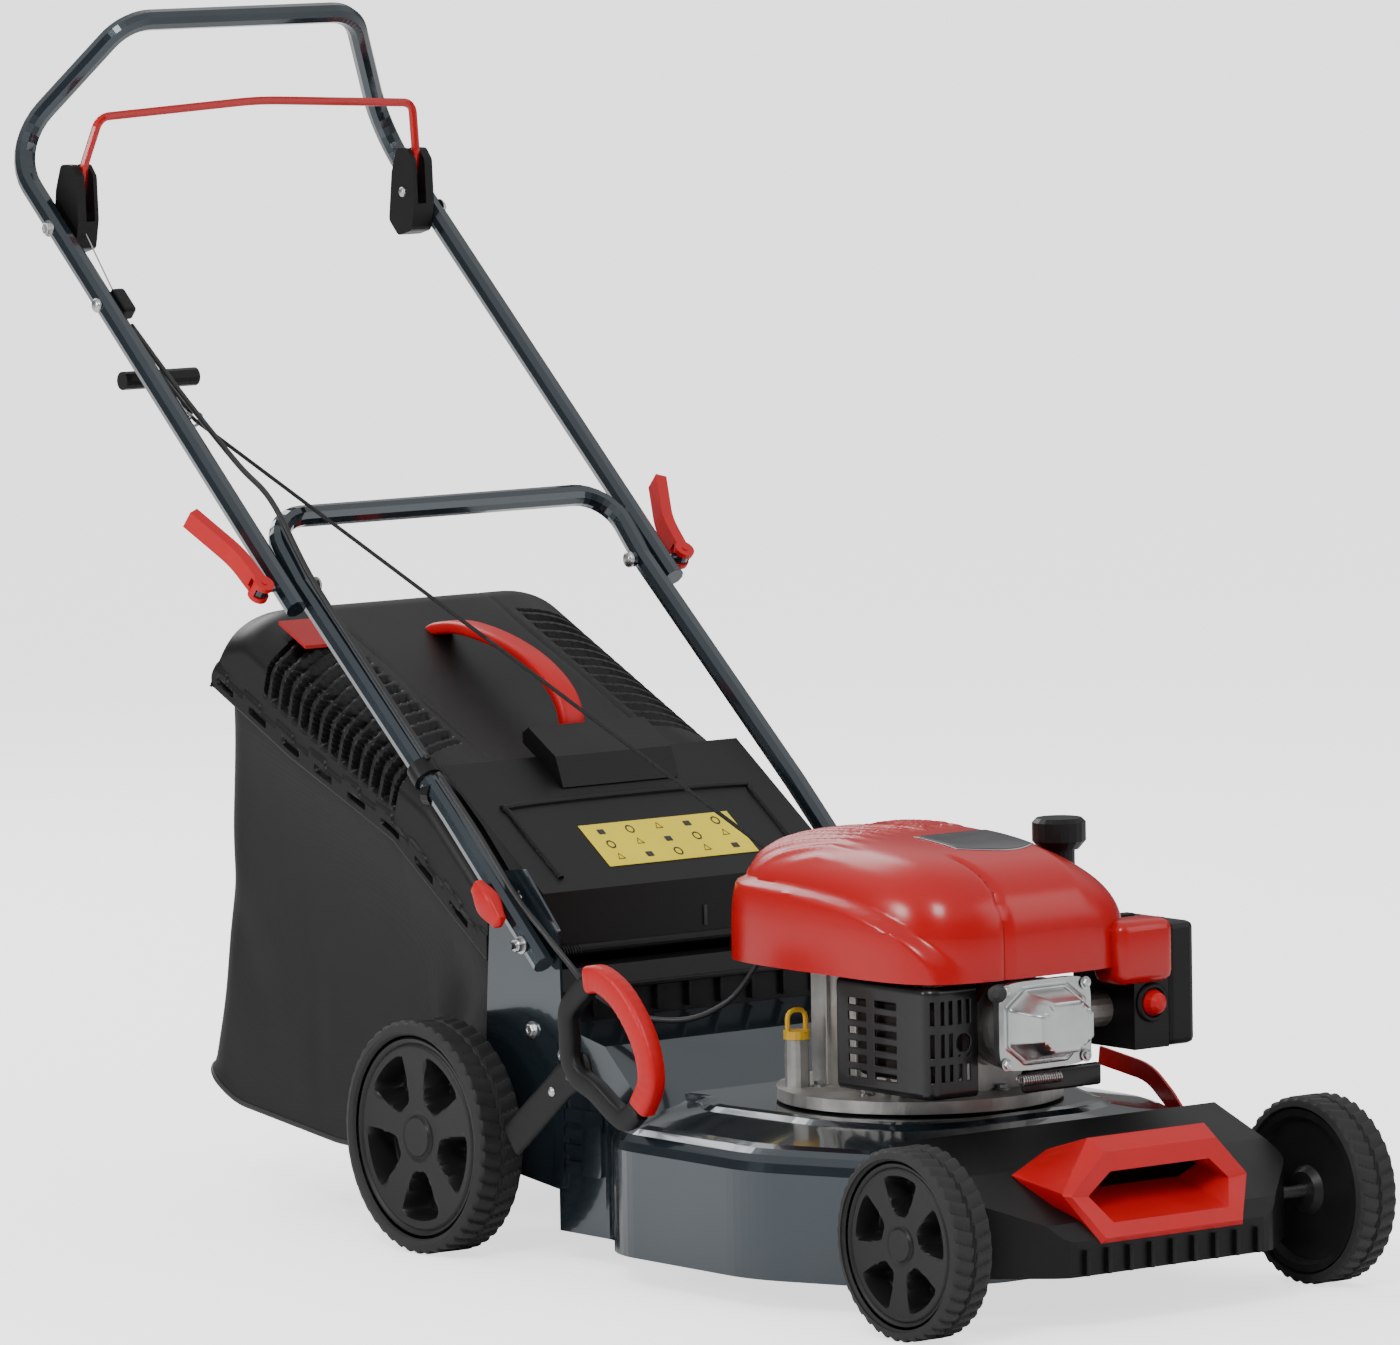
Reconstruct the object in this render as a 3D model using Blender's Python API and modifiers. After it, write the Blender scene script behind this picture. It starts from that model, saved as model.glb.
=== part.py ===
"""Push lawn mower: pressed-steel deck, four-stroke engine, folding handle and rear grass catcher.

Frame: metres, +Z up, front of the mower towards -Y, origin on the ground under the middle of the
whole machine. "left" is the operator's left, +X.
"""
import math

import bmesh
import bpy
from mathutils import Matrix, Vector

# ---------------------------------------------------------------- driving sizes
GAP = 0.0003                    # play left between pieces that touch
FIT = 0.0006                    # running clearance round a shaft

FRONT_WHEEL_R, FRONT_WHEEL_W = 0.090, 0.047
REAR_WHEEL_R, REAR_WHEEL_W = 0.115, 0.055
FRONT_TRACK, REAR_TRACK = 0.493, 0.503          # between wheel centre planes
FRONT_AXLE_Y, REAR_AXLE_Y = -0.6825, 0.0595
AXLE_R = 0.006
SWING_ARM = 0.045               # axle to its pivot shaft, fore and aft

CRANK_Y = -0.3875               # vertical crankshaft axis
CRANK_R = 0.011
BLADE_LENGTH, BLADE_WIDTH, BLADE_T, BLADE_Z = 0.456, 0.052, 0.0035, 0.050

DECK_BOTTOM, DECK_SHOULDER, DECK_TOP = 0.030, 0.132, 0.172
DECK_SHEET = 0.0025
DECK_HALF_WIDTH = 0.254         # at the bulge round the blade
DECK_REAR_HALF = 0.199
DECK_FRONT_Y, DECK_REAR_Y = -0.625, -0.074
TUNNEL_TOP = 0.232              # roof of the discharge tunnel at the deck's rear edge
PLATE_T = 0.003                 # handle brackets

TUBE_R = 0.011
LOWER_X = DECK_REAR_HALF + GAP + PLATE_T + GAP + TUBE_R     # lower tube's centre plane
UPPER_X = LOWER_X + 2 * TUBE_R + 0.0006                     # upper tube lies outside it
BOLT_R = 0.0035
LOWER_PIVOT = (-0.055, 0.310)   # (y, z) of the lower handle's bottom bolt
FOLD_PIVOT = (0.3175, 0.636)    # (y, z) of the quick-release bolts
CROSSBAR = (0.377, 0.700)       # (y, z) of the lower handle's crossbar
UPPER_BEND = (0.790, 1.060)     # (y, z) where the side tubes turn inwards
TOP_BAR = (0.7075, 1.190)       # (y, z) of the push bar
TOP_BAR_HALF = 0.143
BAIL_PIVOT = (0.702, 1.000)     # (y, z) of the brake bail's hinge
BAIL_R = 0.0045

ENGINE_BASE_Z = DECK_TOP + DECK_SHEET
SHROUD_BOTTOM, SHROUD_TOP = 0.308, 0.432
SHROUD_SHEET = 0.0025
SHROUD_FALL = 0.50              # slope of the shroud's top towards the fuel cap's side

CATCHER_HALF = 0.195
LID_HALF = 0.199
LID_SHEET = 0.0025
FLAP_HALF = 0.184
FLAP_T = 0.003
FLAP_HINGE = (-0.033, 0.296)
CHUTE_HALF = 0.165
CHUTE_OUTER = FLAP_HALF + 0.006
LID_FRONT_Y, LID_REAR_Y = 0.035, 0.497
LID_TOP = ((LID_FRONT_Y, 0.372), (0.130, 0.455), (0.440, 0.602))    # (y, z) along the lid's top
LID_RIM = ((LID_FRONT_Y, 0.2835), (0.190, 0.391), (0.360, 0.459), (LID_REAR_Y, 0.524))
BAG_SHEET = 0.003
MOUTH_BOTTOM = 0.158

WHEEL_STEPS = 22
FRONT_PIVOT_Y = FRONT_AXLE_Y + SWING_ARM
REAR_PIVOT_Y = REAR_AXLE_Y - SWING_ARM
FRONT_ARM_X = 0.150             # swing arms
REAR_ARM_X = DECK_REAR_HALF - 0.004
FRONT_LUG_X = FRONT_ARM_X + 0.008
SIDE_PORT_Y = (-0.470, -0.300)
SIDE_HINGE = (DECK_HALF_WIDTH + 0.0065, 0.128)  # (x, z) of the side cover's pin
SIDE_PIN_R = 0.003
REAR_SILL = 0.128               # lower lip of the discharge opening
KNOB_REACH = 0.055              # lower pivot bolt to wing knob, along the tube
HANDLE_TILT = 8.0               # the wing knob's slot lets the lower handle tilt this far each way
SLOT_END = math.degrees((BOLT_R + 2 * FIT) / KNOB_REACH)
LEVER_PIVOT = (-0.088, 0.128)   # (y, z) of the cutting-height lever
LEVER_X = -(DECK_HALF_WIDTH + 0.0025)
TUBE_SLOPE = (0.145, 0.133)     # (y, z) run of the lower tube below its bend
TILT_ANGLE = math.degrees(math.atan2(TUBE_SLOPE[1], TUBE_SLOPE[0]))

FASCIA_LINE = [(-0.757, 0.085), (-0.744, 0.101), (-0.660, 0.141), (-0.588, 0.168)]     # (y, z)
FASCIA_BOTTOM = 0.052
FASCIA_SHEET = 0.003
FASCIA_PLAN = [(0.199, -0.588), (0.199, -0.690), (0.125, -0.757)]
GRIP_OPENING = 0.066            # half-width of the carry handle's finger gap
GRIP_HALF = 0.112

CASE_FRONT_Y, CASE_TOP = -0.477, 0.300
OIL_PLACE, OIL_TOP = (-0.100, -0.325), 0.232
HEAD_X, HEAD_Z = -0.014, 0.262
HEAD_FRONT_Y = -0.586
AIR_BOX = ((0.1055, -0.5825, 0.226), (0.148, -0.492, 0.344))
FUEL_PLACE, FUEL_NECK_R = (0.112, -0.466), 0.015
FUEL_TOP = SHROUD_TOP - 0.0235  # rim of the filler neck, just clear of the shroud
ROPE_OUTLET = (-0.040, -0.245, 0.385)
PRIMER_X, PRIMER_Z, PRIMER_R = 0.127, 0.270, 0.0125

CLIP_PLACE = (0.100, 0.4500)
CABLE_R = 0.003
ROPE_R = 0.002
EYE_X = UPPER_X + TUBE_R + 0.016
PIN_R = 0.003
STOP_DISTANCE = 0.405
ROPE_RING = Vector((-0.200, 0.517, 0.792))
PULL = Vector((0.0, 0.85, 0.53)).normalized()
ROPE_MIDDLE = (-0.120, 0.136, 0.5885)
BRAKE_UPPER = [(-0.2170, 0.602, 0.885), (-0.2120, 0.520, 0.817), (-0.2090, 0.430, 0.752),
               (-0.2090, 0.372, 0.717), (-0.2120, 0.300, 0.6425), (-0.2130, 0.200, 0.5565),
               (-0.2140, 0.108, 0.4785)]
BRAKE_LOWER = [(-0.2140, 0.0925, 0.4650), (-0.2140, 0.030, 0.4120), (-0.2140, -0.030, 0.3560),
               (-0.2140, -0.075, 0.3240), (-0.2080, -0.106, 0.2960), (-0.1920, -0.128, 0.2660),
               (-0.1620, -0.152, 0.2440), (-0.1250, -0.186, 0.2400), (-0.1000, -0.218, 0.2580),
               (-0.0900, -0.244, 0.2880), (-0.0860, -0.262, 0.3180)]

COLOURS = {
    "steel_paint": ((0.060, 0.075, 0.090), 0.30, 0.8),
    "plastic_black": ((0.020, 0.020, 0.021), 0.55, 0.0),
    "plastic_red": ((0.70, 0.025, 0.020), 0.35, 0.0),
    "paint_red": ((0.62, 0.010, 0.012), 0.20, 0.1),
    "rubber": ((0.030, 0.031, 0.033), 0.80, 0.0),
    "rim_grey": ((0.055, 0.057, 0.060), 0.60, 0.0),
    "aluminium": ((0.55, 0.55, 0.54), 0.45, 0.9),
    "zinc": ((0.62, 0.62, 0.60), 0.30, 1.0),
    "fabric": ((0.030, 0.030, 0.032), 0.90, 0.0),
    "yellow": ((0.80, 0.50, 0.02), 0.40, 0.0),
}


# ---------------------------------------------------------------- helpers
def clear_scene():
    for thing in list(bpy.data.objects):
        bpy.data.objects.remove(thing, do_unlink=True)


def new_collection(name):
    group = bpy.data.collections.new(name)
    bpy.context.scene.collection.children.link(group)
    return group


def paint(name):
    material = bpy.data.materials.get(name)
    if material:
        return material
    colour, roughness, metallic = COLOURS[name]
    material = bpy.data.materials.new(name)
    material.use_nodes = True
    shader = material.node_tree.nodes["Principled BSDF"]
    shader.inputs["Base Color"].default_value = (*colour, 1.0)
    shader.inputs["Roughness"].default_value = roughness
    shader.inputs["Metallic"].default_value = metallic
    return material


def as_object(name, mesh, finish, smooth=35):
    mesh.materials.clear()
    mesh.materials.append(paint(finish))
    mesh.shade_smooth()
    mesh.set_sharp_from_angle(angle=math.radians(smooth))
    piece = bpy.data.objects.new(name, mesh)
    PARTS.objects.link(piece)
    return piece


def from_bmesh(name, bm, finish):
    bmesh.ops.recalc_face_normals(bm, faces=bm.faces)
    if bm.calc_volume(signed=True) < 0:
        bmesh.ops.reverse_faces(bm, faces=bm.faces)
    mesh = bpy.data.meshes.new(name)
    bm.to_mesh(mesh)
    bm.free()
    return as_object(name, mesh, finish)


def axis_turn(axis):
    """Rotation that takes local +Z to the named axis; "-X" also mirrors the way it faces."""
    return Vector((0, 0, 1)).rotation_difference(axis_vector(axis)).to_matrix().to_4x4()


def axis_vector(axis):
    sign = -1.0 if axis.startswith("-") else 1.0
    return Vector([sign * (axis[-1] == letter) for letter in "XYZ"])


def round_off(piece, width, segments=2, angle=30):
    bevel = piece.modifiers.new("Bevel", "BEVEL")
    bevel.width = width
    bevel.segments = segments
    bevel.limit_method = "ANGLE"
    bevel.angle_limit = math.radians(angle)
    return piece


def block(name, low, high, finish, rounded_by=0.0):
    """A box between two corners."""
    low, high = Vector(low), Vector(high)
    bm = bmesh.new()
    bmesh.ops.create_cube(bm, size=1.0)
    bmesh.ops.scale(bm, vec=high - low, verts=bm.verts)
    bmesh.ops.translate(bm, vec=(low + high) / 2, verts=bm.verts)
    piece = from_bmesh(name, bm, finish)
    return round_off(piece, rounded_by) if rounded_by else piece


def rod(name, start, axis, length, radius, finish, sides=16, end_radius=None):
    """A cylinder or cone from its start point along an axis."""
    bm = bmesh.new()
    bmesh.ops.create_cone(
        bm, cap_ends=True, segments=sides, depth=length,
        radius1=radius, radius2=radius if end_radius is None else end_radius)
    bmesh.ops.translate(bm, vec=(0, 0, length / 2), verts=bm.verts)
    bm.transform(Matrix.Translation(start) @ axis_turn(axis))
    return from_bmesh(name, bm, finish)


def turned(name, profile, place, axis, finish, steps=24):
    """A profile of (radius, height) points, outer side first from the top, spun round an axis."""
    mesh = bpy.data.meshes.new(name)
    edges = [(i, i + 1) for i in range(len(profile) - 1)]
    if profile[0] == profile[-1]:
        profile = profile[:-1]
        edges[-1] = (len(profile) - 1, 0)
    mesh.from_pydata([(r, 0.0, h) for r, h in profile], edges, [])
    piece = as_object(name, mesh, finish)
    screw = piece.modifiers.new("Screw", "SCREW")
    screw.axis = "Z"
    screw.steps = screw.render_steps = steps
    screw.use_merge_vertices = True
    screw.merge_threshold = 0.00001
    screw.use_smooth_shade = True
    piece.matrix_world = Matrix.Translation(place) @ axis_turn(axis)
    return piece


def mesh_from_curve(piece):
    """Turn a capped curve into a welded mesh object of the same name."""
    bpy.context.view_layer.update()
    evaluated = piece.evaluated_get(bpy.context.evaluated_depsgraph_get())
    mesh = bpy.data.meshes.new_from_object(evaluated)
    name, place, finish = piece.name, piece.matrix_world.copy(), piece.data.materials[0].name
    bpy.data.objects.remove(piece, do_unlink=True)
    bm = bmesh.new()
    bm.from_mesh(mesh)
    bmesh.ops.remove_doubles(bm, verts=bm.verts, dist=0.00002)
    bm.transform(place)
    return from_bmesh(name, bm, finish)


def prism(name, outline, low, high, axis, finish):
    """A flat outline pushed from low to high along an axis.

    The outline holds (y, z) pairs along X, (z, x) pairs along Y and (x, y) pairs along Z.
    """
    data = bpy.data.curves.new(name, "CURVE")
    data.dimensions = "2D"
    data.fill_mode = "BOTH"
    data.extrude = (high - low) / 2
    line = data.splines.new("POLY")
    line.points.add(len(outline) - 1)
    line.use_cyclic_u = True
    for point, (u, v) in zip(line.points, outline):
        point.co = (u, v, 0.0, 1.0)
    data.materials.append(paint(finish))
    piece = bpy.data.objects.new(name, data)
    PARTS.objects.link(piece)
    cycle = "XYZ".index(axis)
    turn = Matrix.Identity(3)
    for column, row in ((0, (cycle + 1) % 3), (1, (cycle + 2) % 3), (2, cycle)):
        for i in range(3):
            turn[i][column] = 1.0 if i == row else 0.0
    middle = axis_vector(axis) * ((low + high) / 2)
    piece.matrix_world = Matrix.Translation(middle) @ turn.to_4x4()
    return mesh_from_curve(piece)


def fillet(points, radius, steps=4, closed=False):
    """The same corner points with each corner rounded to an arc of the given radius."""
    points = [Vector(p) for p in points]
    count = len(points)
    radii = radius if isinstance(radius, (list, tuple)) else [radius] * count
    path = []
    for i, corner in enumerate(points):
        if not closed and i in (0, count - 1) or radii[i] <= 0:
            path.append(corner)
            continue
        before, after = points[i - 1] - corner, points[(i + 1) % count] - corner
        half = before.angle(after) / 2
        reach = min(radii[i] / math.tan(half), 0.49 * before.length, 0.49 * after.length)
        bend = reach * math.tan(half)
        towards = (before.normalized() + after.normalized()).normalized()
        centre = corner + towards * (bend / math.sin(half))
        first = corner + before.normalized() * reach - centre
        last = corner + after.normalized() * reach - centre
        sweep = first.angle(last)
        for k in range(steps + 1):
            t = k / steps
            share = math.sin((1 - t) * sweep), math.sin(t * sweep)
            path.append(centre + (first * share[0] + last * share[1]) / math.sin(sweep))
    return path


def outline(points, radius, steps=4):
    """A closed flat outline with rounded corners, as pairs."""
    flat = fillet([(u, v, 0.0) for u, v in points], radius, steps, closed=True)
    return [(p.x, p.y) for p in flat]


def tube(name, points, radius, finish, resolution=2, keep_curve=True):
    """A round bar or tube along a path."""
    data = bpy.data.curves.new(name, "CURVE")
    data.dimensions = "3D"
    data.bevel_depth = radius
    data.bevel_resolution = resolution
    data.use_fill_caps = True
    line = data.splines.new("POLY")
    line.points.add(len(points) - 1)
    for point, place in zip(line.points, points):
        point.co = (*place, 1.0)
    data.materials.append(paint(finish))
    piece = bpy.data.objects.new(name, data)
    PARTS.objects.link(piece)
    return piece if keep_curve else mesh_from_curve(piece)


def loft(name, rings, finish):
    """A closed solid through rings of equal length."""
    bm = bmesh.new()
    layers = [[bm.verts.new(p) for p in ring] for ring in rings]
    count = len(rings[0])
    for lower, upper in zip(layers, layers[1:]):
        for i in range(count):
            j = (i + 1) % count
            bm.faces.new((lower[i], lower[j], upper[j], upper[i]))
    bm.faces.new(layers[0])
    bm.faces.new(layers[-1])
    return from_bmesh(name, bm, finish)


def use(piece, tool, operation):
    """Join to or cut a piece with another, which becomes a hidden cutter."""
    boolean = piece.modifiers.new(operation.title(), "BOOLEAN")
    boolean.operation = operation
    boolean.object = tool
    PARTS.objects.unlink(tool)
    CUTTERS.objects.link(tool)
    tool.hide_render = True
    tool.display_type = "WIRE"
    tool.name = "cut_" + tool.name
    return piece


def join(piece, *tools):
    for tool in tools:
        use(piece, tool, "UNION")
    return piece


def cut(piece, *tools):
    for tool in tools:
        use(piece, tool, "DIFFERENCE")
    return piece


def hang(pieces, place):
    """Parent pieces to an empty that stands on their joint's axis."""
    pivot = bpy.data.objects.new("pivot_" + pieces[0].name, None)
    pivot.location = place
    PARTS.objects.link(pivot)
    bpy.context.view_layer.update()
    for piece in pieces:
        piece.parent = pivot
        piece.matrix_parent_inverse = Matrix.Translation(place).inverted()
    return pivot


def sided(axis, sign):
    return axis if sign > 0 else "-" + axis


def polar(centre, radius, degrees):
    angle = math.radians(degrees)
    return (centre[0] + radius * math.cos(angle), centre[1] + radius * math.sin(angle))


def band(path, width):
    """Outline of a strip of even width along an open flat path."""
    path = [Vector(p) for p in path]
    left, right = [], []
    for i, point in enumerate(path):
        along = (path[min(i + 1, len(path) - 1)] - path[max(i - 1, 0)]).normalized()
        across = Vector((-along.y, along.x)) * (width / 2)
        left.append(tuple(point + across))
        right.append(tuple(point - across))
    return left + right[::-1]


def past_end(inner, end, reach):
    """A point on the line through two flat points, a given run beyond its end."""
    run = end[0] - inner[0]
    return (end[0] + math.copysign(reach, run), end[1] + (end[1] - inner[1]) * reach / abs(run))


def sides():
    """The two sides of the machine, with the sign of X on each."""
    return (("left", 1.0), ("right", -1.0))


# ---------------------------------------------------------------- wheels and axles
def wheel(name, sign, axle_y, radius, width, track):
    """A plastic rim with a blind hub, and a ribbed tread ring on it."""
    inner = track / 2 - width / 2
    axis = "X" if sign > 0 else "-X"
    place = (sign * inner, axle_y, radius)
    rim_r = radius * 0.80
    web = width * 0.42
    bore = AXLE_R + FIT
    rim = turned(name + "_rim", [
        (0.0, width * 0.80), (0.016, width * 0.80), (0.019, web + 0.005), (0.026, web),
        (rim_r - 0.015, web - 0.002), (rim_r - 0.007, width * 0.88), (rim_r, width * 0.92),
        (rim_r, width * 0.06), (rim_r - 0.006, width * 0.06), (rim_r - 0.011, web - 0.010),
        (0.022, web - 0.008), (0.016, 0.002), (bore, 0.002), (bore, width * 0.66),
        (0.0, width * 0.66)], place, axis, "rim_grey", steps=WHEEL_STEPS)
    inside = rim_r + GAP
    tyre = turned(name + "_tyre", [
        (radius - 0.005, width), (radius - 0.001, width * 0.80), (radius, width * 0.5),
        (radius - 0.001, width * 0.20), (radius - 0.005, 0.0), (inside, width * 0.05),
        (inside, width * 0.95), (radius - 0.005, width)], place, axis, "rubber", steps=WHEEL_STEPS)
    hang([rim, tyre], (sign * track / 2, axle_y, radius))


def axle(name, axle_y, axle_z, track, width, arm_x, pivot_y, overhang):
    """A straight axle welded to two swing arms, with a pivot tube between them."""
    reach = track / 2 - width / 2 + width * 0.66 - FIT
    bar = rod(name, (-reach, axle_y, axle_z), "X", 2 * reach, AXLE_R, "zinc", sides=12)
    for sign in (1.0, -1.0):
        link = prism("arm", outline([
            (min(axle_y, pivot_y) - 0.010, axle_z - 0.010), (max(axle_y, pivot_y) + 0.010, axle_z - 0.010),
            (max(axle_y, pivot_y) + 0.010, axle_z + 0.010), (min(axle_y, pivot_y) - 0.010, axle_z + 0.010)],
            0.009, 3), sign * arm_x - 0.002, sign * arm_x + 0.002, "X", "zinc")
        join(bar, link)
    shaft = rod("shaft", (-arm_x - overhang, pivot_y, axle_z), "X", 2 * (arm_x + overhang), AXLE_R,
                "zinc", sides=12)
    join(bar, shaft)
    hang([bar], (0.0, pivot_y, axle_z))


def running_gear():
    for side, sign in sides():
        wheel("front_wheel_" + side, sign, FRONT_AXLE_Y, FRONT_WHEEL_R, FRONT_WHEEL_W, FRONT_TRACK)
        wheel("rear_wheel_" + side, sign, REAR_AXLE_Y, REAR_WHEEL_R, REAR_WHEEL_W, REAR_TRACK)
    axle("front_axle", FRONT_AXLE_Y, FRONT_WHEEL_R, FRONT_TRACK, FRONT_WHEEL_W,
         FRONT_ARM_X, FRONT_PIVOT_Y, 0.012)
    axle("rear_axle", REAR_AXLE_Y, REAR_WHEEL_R, REAR_TRACK, REAR_WHEEL_W,
         REAR_ARM_X, REAR_PIVOT_Y, 0.0105)


# ---------------------------------------------------------------- deck
def deck_ring(inset, z):
    """The deck's plan outline, drawn in towards the crankshaft by an inset."""
    half = [(DECK_REAR_HALF, DECK_REAR_Y), (DECK_REAR_HALF, -0.168), (DECK_HALF_WIDTH, -0.230),
            (DECK_HALF_WIDTH, -0.445), (0.190, -0.585), (0.100, DECK_FRONT_Y)]
    corners = half + [(-x, y) for x, y in reversed(half)]
    radii = [0.0, 0.05, 0.09, 0.16, 0.08, 0.08, 0.08, 0.08, 0.16, 0.09, 0.05, 0.0]
    ring = fillet([(x, y, 0.0) for x, y in corners], radii, 7, closed=True)
    centre = Vector((0.0, CRANK_Y, 0.0))
    drawn = []
    for point in ring:
        spoke = point - centre
        place = centre + spoke * (1.0 - inset / spoke.length)
        drawn.append((place.x, place.y, z))
    return drawn


def deck_solid(name, t=0.0):
    """The deck's outer form, drawn in by t: the hollow under its sheet, or outwards if t is negative."""
    bottom = DECK_BOTTOM - (0.02 if t else 0.0)
    levels = [(t, bottom), (t, DECK_SHOULDER - t), (t + 0.002, DECK_SHOULDER + 0.009 - t),
              (t + 0.006, DECK_SHOULDER + 0.016 - t), (t + 0.013, DECK_SHOULDER + 0.021 - t),
              (t + 0.022, DECK_SHOULDER + 0.024 - t), (t + 0.085, DECK_TOP - 0.006 - t),
              (t + 0.092, DECK_TOP - 0.0015 - t), (t + 0.100, DECK_TOP - t)]
    return loft(name, [deck_ring(inset, z) for inset, z in levels], "steel_paint")


def ramp(name, t=0.0):
    """The ramp that rises behind the engine to the discharge opening, or the tunnel under it."""
    half = CHUTE_HALF if t else DECK_REAR_HALF - 0.001
    rear = DECK_REAR_Y + (0.02 if t else -0.001)
    floor = REAR_SILL if t else REAR_SILL - 0.02
    roof = [(-0.230 + t, DECK_TOP - 0.025 - t), (-0.150, TUNNEL_TOP - 0.015 - t),
            (DECK_REAR_Y - 0.002, TUNNEL_TOP - t), (rear, TUNNEL_TOP - t)]
    return prism(name, roof + [(rear, floor), (-0.230 + t, floor)], -half, half, "X", "steel_paint")


def deck():
    shell = deck_solid("deck")
    join(shell, ramp("ramp"))
    cut(shell, deck_solid("hollow", DECK_SHEET), ramp("tunnel", DECK_SHEET))
    cut(shell, rod("crank_hole", (0, CRANK_Y, DECK_TOP - 0.02), "Z", 0.04, 0.030, "steel_paint", sides=24))
    cut(shell, block("side_port", (DECK_HALF_WIDTH - 0.09, SIDE_PORT_Y[0], 0.055),
                     (DECK_HALF_WIDTH + 0.02, SIDE_PORT_Y[1], 0.118), "steel_paint"))
    for sign in (1.0, -1.0):
        lug = prism("front_lug", outline([
            (-0.582, 0.108), (FRONT_PIVOT_Y - 0.012, 0.102),
            (FRONT_PIVOT_Y - 0.012, 0.078), (-0.582, 0.060)], 0.004, 2),
            sign * FRONT_LUG_X - 0.002, sign * FRONT_LUG_X + 0.002, "X", "steel_paint")
        join(shell, lug)
    cut(shell, rod("front_pivot_bore", (-0.2, FRONT_PIVOT_Y, FRONT_WHEEL_R), "X", 0.4,
                   AXLE_R + FIT, "steel_paint", sides=16))
    for y in (SIDE_PORT_Y[0] - 0.020, SIDE_PORT_Y[1] + 0.020):
        lug = block("side_lug", (0.216, y - 0.004, 0.1205), (SIDE_HINGE[0] + 0.006, y + 0.004, 0.1335),
                    "steel_paint")
        join(shell, lug)
    cut(shell, rod("side_bore", (SIDE_HINGE[0], SIDE_PORT_Y[0] - 0.04, SIDE_HINGE[1]), "Y", 0.26,
                   SIDE_PIN_R + FIT, "steel_paint", sides=12))
    return shell


def side_cover():
    """Hinged flap over the side discharge port, with an arched grip that stands above its hinge."""
    hinge_x, hinge_z = SIDE_HINGE
    front, rear = SIDE_PORT_Y[0] - 0.013, SIDE_PORT_Y[1] + 0.013
    cover = rod("side_cover", (hinge_x, front, hinge_z), "Y", rear - front, 0.0055, "paint_red", sides=12)
    plate = block("plate", (hinge_x - 0.0035, front, 0.046), (hinge_x - 0.0005, rear, hinge_z), "paint_red")
    path = [(p.x, p.y) for p in fillet([(front + 0.010, hinge_z, 0), (front + 0.034, 0.152, 0),
                                        (-0.420, 0.174, 0), (-0.345, 0.184, 0)], 0.06, 4)]
    grip = prism("grip", band(path, 0.018), hinge_x - 0.002, hinge_x + 0.001, "X", "paint_red")
    join(cover, plate, grip)
    pin = rod("pin", (hinge_x, front - 0.015, hinge_z), "Y", rear - front + 0.030, SIDE_PIN_R, "zinc",
              sides=10)
    join(cover, pin)
    hang([cover], (hinge_x, (front + rear) / 2, hinge_z))


def handle_brackets():
    """Steel side plates: they carry the rear axle's pivot and the lower handle's two bolts."""
    for side, sign in sides():
        inner = sign * (DECK_REAR_HALF + GAP)
        low, high = sorted((inner, inner + sign * PLATE_T))
        plate = prism("handle_bracket_" + side, outline([
            (-0.086, 0.070), (0.034, 0.085), (0.040, 0.160), (0.034, 0.250), (0.026, 0.352),
            (0.002, 0.376), (-0.030, 0.380), (-0.084, 0.325), (-0.088, 0.200)], 0.008, 3),
            low, high, "X", "steel_paint")
        cut(plate, rod("bore", (low - 0.005, REAR_PIVOT_Y, REAR_WHEEL_R), "X", 0.015,
                       AXLE_R + FIT, "steel_paint", sides=16))
        slot = [polar(LOWER_PIVOT, KNOB_REACH, TILT_ANGLE + share * (HANDLE_TILT + SLOT_END))
                for share in (-1.0, -0.6, -0.2, 0.2, 0.6, 1.0)]
        cut(plate, prism("slot", band(slot, 2 * (BOLT_R + FIT)), low - 0.005, high + 0.005, "X",
                         "steel_paint"))
        stud = rod("stud", (inner + sign * 0.001, *LOWER_PIVOT), sided("X", sign),
                   UPPER_X + 0.002 - DECK_REAR_HALF, BOLT_R, "zinc", sides=12)
        join(plate, stud)


# ---------------------------------------------------------------- front and rear plastic


def fascia_solid(name, t):
    """Front cover's outer form, or the hollow inside its wall."""
    half = [(x - t, y + (t if y < -0.7 else 0.0)) for x, y in FASCIA_PLAN]
    rear = FASCIA_PLAN[0][1] + (0.02 if t else 0.0)
    half[0] = (half[0][0], rear)
    plan = outline(half + [(-x, y) for x, y in reversed(half)], [0.0, 0.03, 0.03, 0.03, 0.03, 0.0], 3)
    bottom = FASCIA_BOTTOM - (0.01 if t else 0.0)
    body = prism(name, plan, bottom, 0.20, "Z", "plastic_black")
    line = [(y, z - t) for y, z in FASCIA_LINE]
    line[0] = past_end(line[1], line[0], 0.010)
    line[-1] = past_end(line[-2], line[-1], rear + 0.002 - line[-1][0])
    side = prism("side", line + [(line[-1][0], bottom), (line[0][0], bottom)], -0.25, 0.25, "X",
                 "plastic_black")
    use(body, side, "INTERSECT")
    return body


def fascia():
    """Plastic front cover with a finger recess, open below, notched for the axle and the deck."""
    cover = fascia_solid("fascia", 0.0)
    cut(cover, fascia_solid("hollow", FASCIA_SHEET), deck_solid("deck_room", -0.001))
    for sign in (1.0, -1.0):
        low, high = sorted((sign * 0.185, sign * 0.215))
        cut(cover, block("axle_notch", (low, FRONT_AXLE_Y - 0.016, 0.04),
                         (high, FRONT_AXLE_Y + 0.016, FRONT_WHEEL_R + 0.028), "plastic_black"))
    cut(cover, block("finger_recess", (-GRIP_OPENING, -0.742, 0.06), (GRIP_OPENING, -0.698, 0.19),
                     "plastic_black"))


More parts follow.
